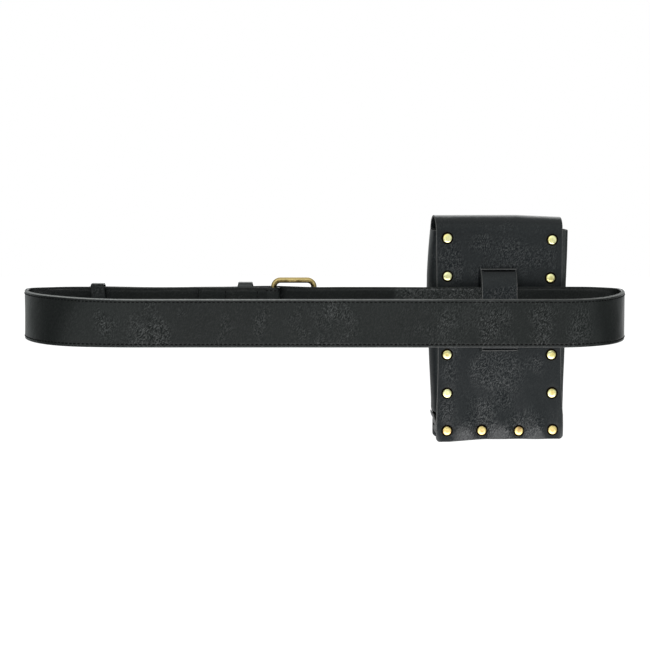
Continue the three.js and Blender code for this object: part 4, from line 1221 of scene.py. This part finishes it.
# %% Side gussets
GUSSET_INSET, GUSSET_FLANGE, GUSSET_TURN, FLANGE_STEPS = 1, 16, 1.2, (6, 2, 0)
FLANGE_BACK = LEATHER + GAP + LEATHER / 2
FLANGE_FRONT = POUCH_DEPTH - FLANGE_BACK
GUSSET_TOP, GUSSET_LOW = POUCH_MOUTH, -93.5
SECTION_STEP, SECTION_ROUNDING, SECTION_PITCH = 0.8, 0.012, 0.025
GUSSET_TUCK = [(66.2, 0), (20, 0), (-61, 0), (-79, 0), (-86.4, 0.4), (-88.4, 1.9), (-93.5, 2)]
# Swell by height. A section has shares of the pouch's depth and of the swell, from back to
# front: the left wall is round, the right one boxy.
LEFT_GUSSET = {
    "sign": -1,
    "swell": [(66.2, 3.8), (48, 5.6), (20, 7.2), (-34, 6.5), (-61, 4.9), (-79, 3.2), (-86.4, 2.5),
              (-88.4, -0.4), (-93.5, -0.4)],
    "section": [(0.14, 0.35), (0.3, 0.82), (0.5, 1), (0.7, 0.82), (0.86, 0.35)],
    "looks": {"outside": PLAIN_WRINKLES, "skin": skins["pouch_leather"]},
}
RIGHT_GUSSET = {
    "sign": 1,
    "swell": [(66.2, 5.7), (48, 5.35), (20, 4.5), (-34, 4.4), (-61, 2.9), (-79, 1.5), (-86.4, 0.9),
              (-88.4, 0), (-93.5, 0)],
    "section": [(0.105, 0.55), (0.15, 0.9), (0.3, 1), (0.7, 0.9), (0.86, 0.35)],
    # The right wall is painted lighter, with the lighter skin and more glints, for the light it
    # faces.
    "looks": {"outside": 0.4, "skin": skins["side_leather"]},
}


def gusset_section(edge, swell, shares):
    """A run across the strip at one height, from one flange to the other, as (x, y)."""
    across = [edge - GUSSET_FLANGE] + [edge - GUSSET_TURN - step for step in FLANGE_STEPS]
    bulge = [(edge + out * swell, deep * POUCH_DEPTH) for deep, out in shares]
    back, front = ([(x, y) for x in across] for y in (FLANGE_BACK, FLANGE_FRONT))
    return smooth_run(back + bulge + front[::-1], SECTION_STEP)


stations = edged(GUSSET_TOP - GUSSET_LOW, SHEET_ROUNDING, FRONT_PITCH)
for name, gusset in (("left_gusset", LEFT_GUSSET), ("right_gusset", RIGHT_GUSSET)):
    rows = []
    for z in GUSSET_TOP - stations:
        edge = panel_half(z) - GUSSET_INSET - by_height(GUSSET_TUCK, z)
        section = gusset_section(edge, by_height(gusset["swell"], z), gusset["section"])
        along = lengths_along(section)
        steps = edged(1, SECTION_ROUNDING, SECTION_PITCH) * along[-1]
        x, y = (np.interp(steps, along, section[:, k]) for k in (0, 1))
        rows.append(grid_of(gusset["sign"] * x, y, z))
    from_side = [from_ends(lengths_along(row)) for row in rows]
    from_edge = np.minimum(from_side, from_ends(stations)[:, None])
    mesh = pouch_sheet(name, np.array(rows), from_edge, **gusset["looks"])
    finish_piece(name, mesh, "black_leather", name)

# %% [markdown]
# ## Bottom gusset
# A strip lies across the bottom and turns up outside the lower ends of the side gussets, where its
# cut ends show at both corners. Two flat flanges hold it to the panels. On the real bag they are
# folds of the same strip; a fold that tight pinches a grid, so the strip and the two flanges are
# three sheets in one mesh.

# %% Bottom gusset
BOTTOM_ABOVE, BOTTOM_UPTURN, BOTTOM_CORNER, BOTTOM_CLEAR, BOTTOM_SHIFT = 2.8, -88, 3.2, 0.55, 0.45
BOTTOM_FLANGE_TOP, BOTTOM_FLANGE_HALF = -94.6, 47.5
STRIP_PITCH, FLANGE_PITCH, CORNER_STEPS = 2.4, 1.6, 9
# The left upturned end from its tip down, as how far it stands out and its height: its tip is
# thin and curls away, and the strip is nipped in beside the rivet.
CURLED_END = [(2.7, -88), (2.5, -90), (1.8, -92), (0.7, -94), (0.2, -96), (0, -98), (-0.9, -100)]
CURLED_END += [(-0.1, -101.6)]
TIP_THIN, TIP_TAPER = 0.45, 8
low = POUCH_BOTTOM + BOTTOM_ABOVE


def strip_path():
    """The strip's middle line from its curled left end to its right one, as (x, z)."""
    side = float(panel_half(BOTTOM_UPTURN)) - GUSSET_INSET + BOTTOM_CLEAR
    turn = np.radians(np.linspace(180, 270, CORNER_STEPS))
    x = BOTTOM_CORNER - side + BOTTOM_CORNER * np.cos(turn)
    z = low + BOTTOM_CORNER + BOTTOM_CORNER * np.sin(turn)
    curled = [(-side - out, height) for out, height in CURLED_END]
    left, right = np.stack([x, z], -1), np.stack([-x, z], -1)[::-1]
    return np.concatenate([curled, left, right, [(side, BOTTOM_UPTURN)]]) + (BOTTOM_SHIFT, 0)


def merged(name, meshes):
    """Several meshes as one piece."""
    places, faces, picks = [], [], []
    for mesh in meshes:
        start = len(places)
        places += [tuple(np.array(point.co) / MM) for point in mesh.vertices]
        faces += [tuple(start + i for i in face.vertices) for face in mesh.polygons]
        picks += [face.material_index for face in mesh.polygons]
        bpy.data.meshes.remove(mesh)
    return new_mesh(name, places, faces, [skins["pouch_leather"], dyed_edge], picks)


path = strip_path()
along = lengths_along(path)
stations = np.unique(np.concatenate([edged(along[-1], SHEET_ROUNDING, STRIP_PITCH), along[1:-1]]))
columns = edged(FLANGE_FRONT - FLANGE_BACK + LEATHER, SHEET_ROUNDING, STRIP_PITCH)
x, z = (np.interp(stations, along, path[:, k])[:, None] for k in (0, 1))
drawn = grid_of(x, FLANGE_BACK - LEATHER / 2 + columns, z)
from_edge = np.minimum(from_ends(stations)[:, None], from_ends(columns))
taper = np.interp(stations, [0, TIP_TAPER], [TIP_THIN, 1])[:, None]
parts = [pouch_sheet("strip", drawn, from_edge, taper=taper)]
flange_x = edged(2 * BOTTOM_FLANGE_HALF, SHEET_ROUNDING, STRIP_PITCH)
flange_z = edged(BOTTOM_FLANGE_TOP - low, SHEET_ROUNDING, FLANGE_PITCH)
from_edge = np.minimum(from_ends(flange_z)[:, None], from_ends(flange_x))
for flange_y in (FLANGE_BACK, FLANGE_FRONT):
    drawn = grid_of(flange_x - BOTTOM_FLANGE_HALF, flange_y, low + flange_z[:, None])
    parts.append(pouch_sheet("flange", drawn, from_edge))
finish_piece("bottom_gusset", merged("bottom_gusset", parts), "black_leather", "bottom_gusset")

# %% [markdown]
# ## Belt loop
# The strip that carries the pouch is sewn flat to the back panel at both ends and arches over the
# belt between them. Bending a straight strip with a modifier would stretch it; here its rows
# follow the arch. A seam near each end presses it in. Under the upper one's pale lip a band of the
# leather is painted in the thread's black: partly thread, partly painted shade under the lip.

# %% Belt loop
LOOP_WIDTH, LOOP_SLIP, LOOP_SHIFT = 29.5, 1.2, -1
# Height, and how far the loop's middle stands off the panel there.
LOOP_RISE = [(34.4, 1.1), (32.2, 1.2), (30.2, 3.2), (27.4, 5.4), (23.6, 7.1), (19.4, 7.8)]
LOOP_RISE += [(15, 7.9), (0, 7.9)]
LOOP_TOP, LOOP_OFF = LOOP_RISE[0]
LOOP_SEAM, LOOP_SEAM_DEPTH, LOOP_SEAM_WIDTH = 1.5, 0.8, 0.5
LOOP_PITCH, LOOP_COLUMN_PITCH, GROOVE_STEP, GROOVE_STEPS = 1.0, 1.6, 0.2, 6
LOOP_WRINKLES = [(0, 14, 16, 8, 1), (9, 18, 6, 6, 0.9)]
# The band painted dark, partly thread and partly shade under the lip: its rows along the loop from
# the seam, and how far its ends are from the sides.
THREAD_SHADE_ROWS, THREAD_SHADE_ENDS = (-0.15, 1.8), (2, 1)
upper = [(-off, height) for height, off in LOOP_RISE]
lower = [(-off, -height) for height, off in reversed(LOOP_RISE[:-1])]
run = smooth_run(upper + lower, LOOP_PITCH)
along = lengths_along(run)
groove_rows = LOOP_SEAM + np.arange(-GROOVE_STEPS, GROOVE_STEPS + 1) * GROOVE_STEP
stations = np.concatenate([edged(along[-1], SHEET_ROUNDING, LOOP_PITCH), groove_rows])
stations = np.unique(np.concatenate([stations, along[-1] - stations]))
stations = stations[np.concatenate([[True], np.diff(stations) > TOUCH])]
columns = edged(LOOP_WIDTH, SHEET_ROUNDING, LOOP_COLUMN_PITCH)
y, z = (np.interp(stations, along, run[:, k])[:, None] for k in (0, 1))
x = columns - LOOP_WIDTH / 2 + LOOP_SHIFT + LOOP_SLIP * np.maximum(0, -z / LOOP_TOP)
from_end = from_ends(stations)[:, None]
groove = LOOP_SEAM_DEPTH * pressed(from_end - LOOP_SEAM, LOOP_SEAM_WIDTH)
wrinkles = wrinkled_places(LOOP_WRINKLES, x, z)
from_edge = np.minimum(from_end, from_ends(columns))
drawn = grid_of(x, y, z)
loop_mesh = pouch_sheet("belt_loop", drawn, from_edge, BACKWARDS, groove, outside=wrinkles)
after_seam = stations - LOOP_SEAM
thread_shade_rows = (after_seam[:-1] > THREAD_SHADE_ROWS[0]) & (after_seam[1:] < THREAD_SHADE_ROWS[1])
thread_shade_columns = (columns[:-1] > THREAD_SHADE_ENDS[0]) & (columns[1:] < LOOP_WIDTH - THREAD_SHADE_ENDS[1])
# Painted shade: the band under the upper lip gets the thread's black, partly thread, partly shade.
repaint(loop_mesh, np.flatnonzero(thread_shade_rows[:, None] & thread_shade_columns), black_thread)
finish_piece("belt_loop", loop_mesh, "black_leather", "belt_loop")

# %% [markdown]
# ## Rivets
# Fourteen rivets hold each panel. They are all alike, so one rivet is turned on a lathe, by hand
# in code. Copies could be placed in a loop, but Geometry Nodes put one on each marked point, facing
# the way the point says, and leave its size and unevenness to be set on the modifier.
# The tree ends in Realize Instances, because an export keeps real faces and drops instances.


# %% Trees for copies
def new_tree(name, *inputs):
    """A Geometry Nodes tree with named inputs: its nodes, the inputs and their identifiers."""
    tree = bpy.data.node_groups.new(name, "GeometryNodeTree")
    keys = {}
    for label, kind in (("Geometry", "Geometry"), *inputs):
        socket = tree.interface.new_socket(label, in_out="INPUT", socket_type="NodeSocket" + kind)
        keys[label] = socket.identifier
    tree.interface.new_socket("Geometry", in_out="OUTPUT", socket_type="NodeSocketGeometry")
    nodes = Nodes(tree)
    return nodes, nodes.add("NodeGroupInput").outputs, keys


def facing_of(nodes):
    kind = {"data_type": "FLOAT_VECTOR"}
    named = nodes.add("GeometryNodeInputNamedAttribute", {"Name": "facing"}, **kind)
    return named.outputs["Attribute"]


def varied(nodes, least, seed):
    """A random number from `least` to 1 for each copy, the same at every run."""
    chance = {"Seed": seed, 2: least, 3: 1.0}
    return nodes.add("FunctionNodeRandomValue", chance, data_type="FLOAT").outputs[1]


def end_tree(nodes, points, pattern, turn, size, material):
    """Ends a tree in a copy of the pattern on each point, as real faces with one material."""
    shape = nodes.add("GeometryNodeObjectInfo", {"Object": pattern}).outputs["Geometry"]
    copies = {"Points": points, "Instance": shape, "Rotation": turn, "Scale": size}
    placed = nodes.add("GeometryNodeInstanceOnPoints", copies).outputs["Instances"]
    real = nodes.add("GeometryNodeRealizeInstances", {"Geometry": placed}).outputs["Geometry"]
    coloured = nodes.add("GeometryNodeSetMaterial", {"Geometry": real, "Material": material})
    nodes.add("NodeGroupOutput", {"Geometry": coloured.outputs["Geometry"]})
    print(nodes.tree.name + ":", len(nodes.tree.nodes), "nodes")


def guide(name, places, facing, edges=()):
    """A mesh of points or lines, with the direction that each point faces."""
    mesh = bpy.data.meshes.new(name)
    mesh.from_pydata((np.asarray(places) * MM).tolist(), list(edges), [])
    mark(mesh, "facing", facing, "FLOAT_VECTOR")
    return in_scene(name, mesh)


def from_nodes(points, nodes, settings):
    """Runs a tree on an object and gives the plain mesh; the object goes."""
    change = points.modifiers.new(nodes.tree.name, "NODES")
    change.node_group = nodes.tree
    for key, value in settings.items():
        change[key] = value
    mesh = applied(points)
    mesh.polygons.foreach_set("use_smooth", np.ones(len(mesh.polygons), bool))
    return mesh


RIVET_SEED = 7
inputs = [("Rivet", "Object"), ("Head radius", "Float"), ("Unevenness", "Float")]
rivet_nodes, given, rivet_keys = new_tree("set_rivets", *inputs)
upright = {"Vector": facing_of(rivet_nodes)}
turn = rivet_nodes.add("FunctionNodeAlignRotationToVector", upright, axis="Z").outputs["Rotation"]
least = rivet_nodes.maths("SUBTRACT", 1.0, given["Unevenness"])
size = rivet_nodes.times(varied(rivet_nodes, least, RIVET_SEED), given["Head radius"])
end_tree(rivet_nodes, given["Geometry"], given["Rivet"], turn, size, pale_brass)

# %% Set the rivets
RIVET_CAP, RIVET_SIDES, RIVET_SEAT, RIVET_UNEVEN = 3.9, 28, 0.35, 0.04
RIVET_SHARP = math.radians(60)
# A rivet of radius 1, as radius, height and how clean it is: a flat-domed head, a dark collar that
# is partly tarnish and partly painted shade round the head, the neck in the leather and the small
# washer inside.
RIVET_PROFILE = [
    (0, 0.35, 0.9), (0.2, 0.35, 0.9), (0.34, 0.355, 0.93), (0.46, 0.355, 1), (0.7, 0.32, 1),
    (0.86, 0.26, 1), (0.94, 0.19, 0.9), (0.97, 0.12, 0.3), (0.98, 0.06, 0), (1.2, 0.05, 0),
    (1.3, 0.02, 0), (1.3, -0.07, 0), (1.05, -0.09, 0), (0.385, -0.09, 1), (0.385, -0.97, 1),
    (0.72, -0.97, 1), (0.7, -1.08, 1), (0.55, -1.16, 1), (0, -1.2, 1),
]
SIDE_ROWS = 6


def lathe(profile, sides):
    """A turned shape about +Z. The profile, as (radius, height), starts and ends on the axis."""
    turn = whole_turn(sides)
    rings = [grid_of(out * np.cos(turn), out * np.sin(turn), up) for out, up in profile[1:-1]]
    return closed_rings(rings, (0, 0, profile[0][1]), (0, 0, profile[-1][1]))


places, faces = lathe([row[:2] for row in RIVET_PROFILE], RIVET_SIDES)
one_rivet = solid("one_rivet", places / MM, faces)
clean_and_lit = [row[2] for row in RIVET_PROFILE]
mark(one_rivet.data, "worn", [*np.repeat(clean_and_lit[1:-1], RIVET_SIDES), clean_and_lit[0], clean_and_lit[-1]])
rivet_names = [f"{side}_{row}" for row in range(1, SIDE_ROWS + 1) for side in ("left", "right")]
rivet_names += ["lower_left", "lower_right"]
settings = {
    rivet_keys["Rivet"]: one_rivet,
    rivet_keys["Head radius"]: RIVET_CAP * MM,
    rivet_keys["Unevenness"]: RIVET_UNEVEN,
}
seat = DENT_DEPTH - RIVET_SEAT
for face_name, seat_y, way in (("back", seat, BACKWARDS), ("front", POUCH_DEPTH - seat, FORWARDS)):
    name = face_name + "_rivets"
    drawn = grid_of(rivet_places[:, 0], seat_y, rivet_places[:, 1])
    points = guide(name, on_pouch(drawn), [pouch_way(way)] * len(drawn))
    mesh = from_nodes(points, rivet_nodes, settings)
    mesh.set_sharp_from_angle(angle=RIVET_SHARP)
    finish_piece(name, mesh, "pale_brass", *[f"{face_name}_rivet_{n}" for n in rivet_names])
bpy.data.objects.remove(one_rivet)

# %% [markdown]
# ## Snap
# The flap closes on the front panel with a snap: a domed cap outside, a stud between the two
# sheets and a washer inside. Cylinders would do, but one turned shape has no seams between its
# parts. It is in the rivets' brass, and clean.

# %% Snap
SNAP_Z, SNAP_SIDES, SNAP_SHARP = -74, 40, math.radians(50)
# Radius and height, the cap's over the flap and the washer's over the inside of the panel.
SNAP_CAP = [(0, 2.2), (1.5, 2.15), (3, 1.95), (4.3, 1.55), (5.3, 0.95), (5.85, 0.35), (6, 0.05)]
SNAP_CAP += [(5.8, -0.1), (2, -0.1)]
SNAP_WASHER = [(2, 0), (4.8, 0), (5, -0.3), (4.8, -0.9), (0, -1)]
cap_at = POUCH_DEPTH + FLAP_SPACE + LEATHER + crown(FLAP_CROWN, 0.0, SNAP_Z) + 2 * GAP
washer_at = POUCH_DEPTH - LEATHER + crown(FRONT_CROWN, 0.0, SNAP_Z) - 2 * GAP
profile = [(out, cap_at + up) for out, up in SNAP_CAP]
profile += [(out, washer_at + up) for out, up in SNAP_WASHER]
places, faces = lathe(profile, SNAP_SIDES)
snap_drawn = grid_of(places[:, 0], places[:, 2], SNAP_Z + places[:, 1])
snap_mesh = new_mesh("flap_snap", on_pouch(snap_drawn), faces, [pale_brass])
snap_mesh.set_sharp_from_angle(angle=SNAP_SHARP)
mark(snap_mesh, "worn", np.ones(len(places)))
finish_piece("flap_snap", snap_mesh, "pale_brass", "flap_snap")

# %% [markdown]
# ## Stitches
# A saddle stitch runs in both grooves on the belt's outside, across the folded end behind the
# buckle, and across both ends of the belt loop. One stitch is a short bent piece of thread that
# dips into the leather at both ends. An Array modifier on a curve could repeat it, but would bend
# the stitches; Geometry Nodes turn each seam into a curve, cut it into even steps and lay a stitch
# on each step, facing out of the leather. A little random length from a fixed seed keeps the row
# from looking stamped.

# %% Stitch tree
STITCH_SEED = 3
inputs = [("Stitch", "Object"), ("Pitch", "Float"), ("Shortest", "Float")]
stitch_nodes, given, stitch_keys = new_tree("saddle_stitches", *inputs)
seam = stitch_nodes.add("GeometryNodeMeshToCurve", {"Mesh": given["Geometry"]}).outputs["Curve"]
even = {"Curve": seam, "Length": given["Pitch"]}
steps = stitch_nodes.add("GeometryNodeResampleCurve", even, mode="LENGTH").outputs["Curve"]
along_seam = stitch_nodes.add("GeometryNodeInputTangent").outputs["Tangent"]
axes = {"Primary Axis": facing_of(stitch_nodes), "Secondary Axis": along_seam}
lying = {"primary_axis": "Z", "secondary_axis": "X"}
turn = stitch_nodes.add("FunctionNodeAxesToRotation", axes, **lying).outputs["Rotation"]
size = varied(stitch_nodes, given["Shortest"], STITCH_SEED)
end_tree(stitch_nodes, steps, given["Stitch"], turn, size, black_thread)

# %% One stitch and its seams
STITCH_LENGTH, STITCH_PITCH, LOOP_STITCH_PITCH, SHORTEST = 2.4, 3.5, 2.5, 0.88
THREAD_RADIUS, THREAD_SIDES = 0.43, 6
# A stitch: share of its length, rise over the leather, and share of the thread's radius.
STITCH = [(-0.5, -0.42, 0.8), (-0.36, 0.02, 1), (0, 0.16, 1.05), (0.36, 0.02, 1), (0.5, -0.42, 0.8)]
stitch_path = [(share * STITCH_LENGTH, rise, 0) for share, rise, thick in STITCH]
stitch_radii = [THREAD_RADIUS * thick for share, rise, thick in STITCH]
places, faces = tube(stitch_path, stitch_radii, THREAD_SIDES)
one_stitch = solid("one_stitch", places[:, [0, 2, 1]], faces)


def sewn(name, lines, pitch):
    """Stitches along lines; each line is its places and the directions that they face."""
    edges, start = [], 0
    for line, ways in lines:
        edges += [(start + i, start + i + 1) for i in range(len(line) - 1)]
        start += len(line)
    places, facing = (np.concatenate(part) for part in zip(*lines))
    settings = {
        stitch_keys["Stitch"]: one_stitch,
        stitch_keys["Pitch"]: pitch * MM,
        stitch_keys["Shortest"]: SHORTEST,
    }
    mesh = from_nodes(guide(name, places, facing, edges), stitch_nodes, settings)
    return finish_piece(name, mesh, "black_leather")


SEAM_END, TIP_SEAM = 3, 0.6
sewn_rows = (belt_s > FOLD_LENGTH) & (belt_s < belt_length - SEAM_END)
belt_lines = []
for edge in (1, -1):
    up = edge * np.maximum(belt_half - SEAM_INSET, TIP_SEAM)
    lift = belt_full / 2 - SEAM_DEPTH + belt_stray(belt_s, up)
    line = belt_line + up[:, None] * belt_rise + lift[:, None] * belt_side
    belt_lines.append((line[sewn_rows], belt_side[sewn_rows]))
sewn("belt_stitches", belt_lines, STITCH_PITCH)

# %% Seams of the folded end and the loop
FOLD_SEAMS, FOLD_SEAM_HALF, FOLD_SEAM_STEPS, FOLD_SEAM_SUNK = [-80.7, -54.3], 15, 16, 0.05
fold_lines = []
for seam_x in FOLD_SEAMS:
    fold_x = [FOLDED_END[0][0], FOLDED_END[-1][0]]
    here = np.argmin(np.abs(belt_s - np.interp(seam_x, fold_x, [0, FOLD_LENGTH])))
    up = np.linspace(-FOLD_SEAM_HALF, FOLD_SEAM_HALF, FOLD_SEAM_STEPS)
    inner_way = belt_side[here] * np.sign(-belt_side[here][1])
    line = belt_line[here] + inner_way * (belt_full[here] / 2 - FOLD_SEAM_SUNK)
    fold_lines.append((line + up[:, None] * (0, 0, 1), [inner_way] * len(up)))
sewn("fold_stitches", fold_lines, STITCH_PITCH)

LOOP_SEAM_INSET, LOOP_SEAM_STEPS = 2, 20
loop_lines = []
for end, slip in ((1, 0), (-1, LOOP_SLIP)):
    half = LOOP_WIDTH / 2 - LOOP_SEAM_INSET
    x = np.linspace(-half, half, LOOP_SEAM_STEPS) + LOOP_SHIFT + slip
    drawn = grid_of(x, LOOP_SEAM_DEPTH - LOOP_OFF - LEATHER / 2, end * (LOOP_TOP - LOOP_SEAM))
    loop_lines.append((on_pouch(drawn), [pouch_way(BACKWARDS)] * len(x)))
sewn("loop_stitches", loop_lines, LOOP_STITCH_PITCH)
bpy.data.objects.remove(one_stitch)
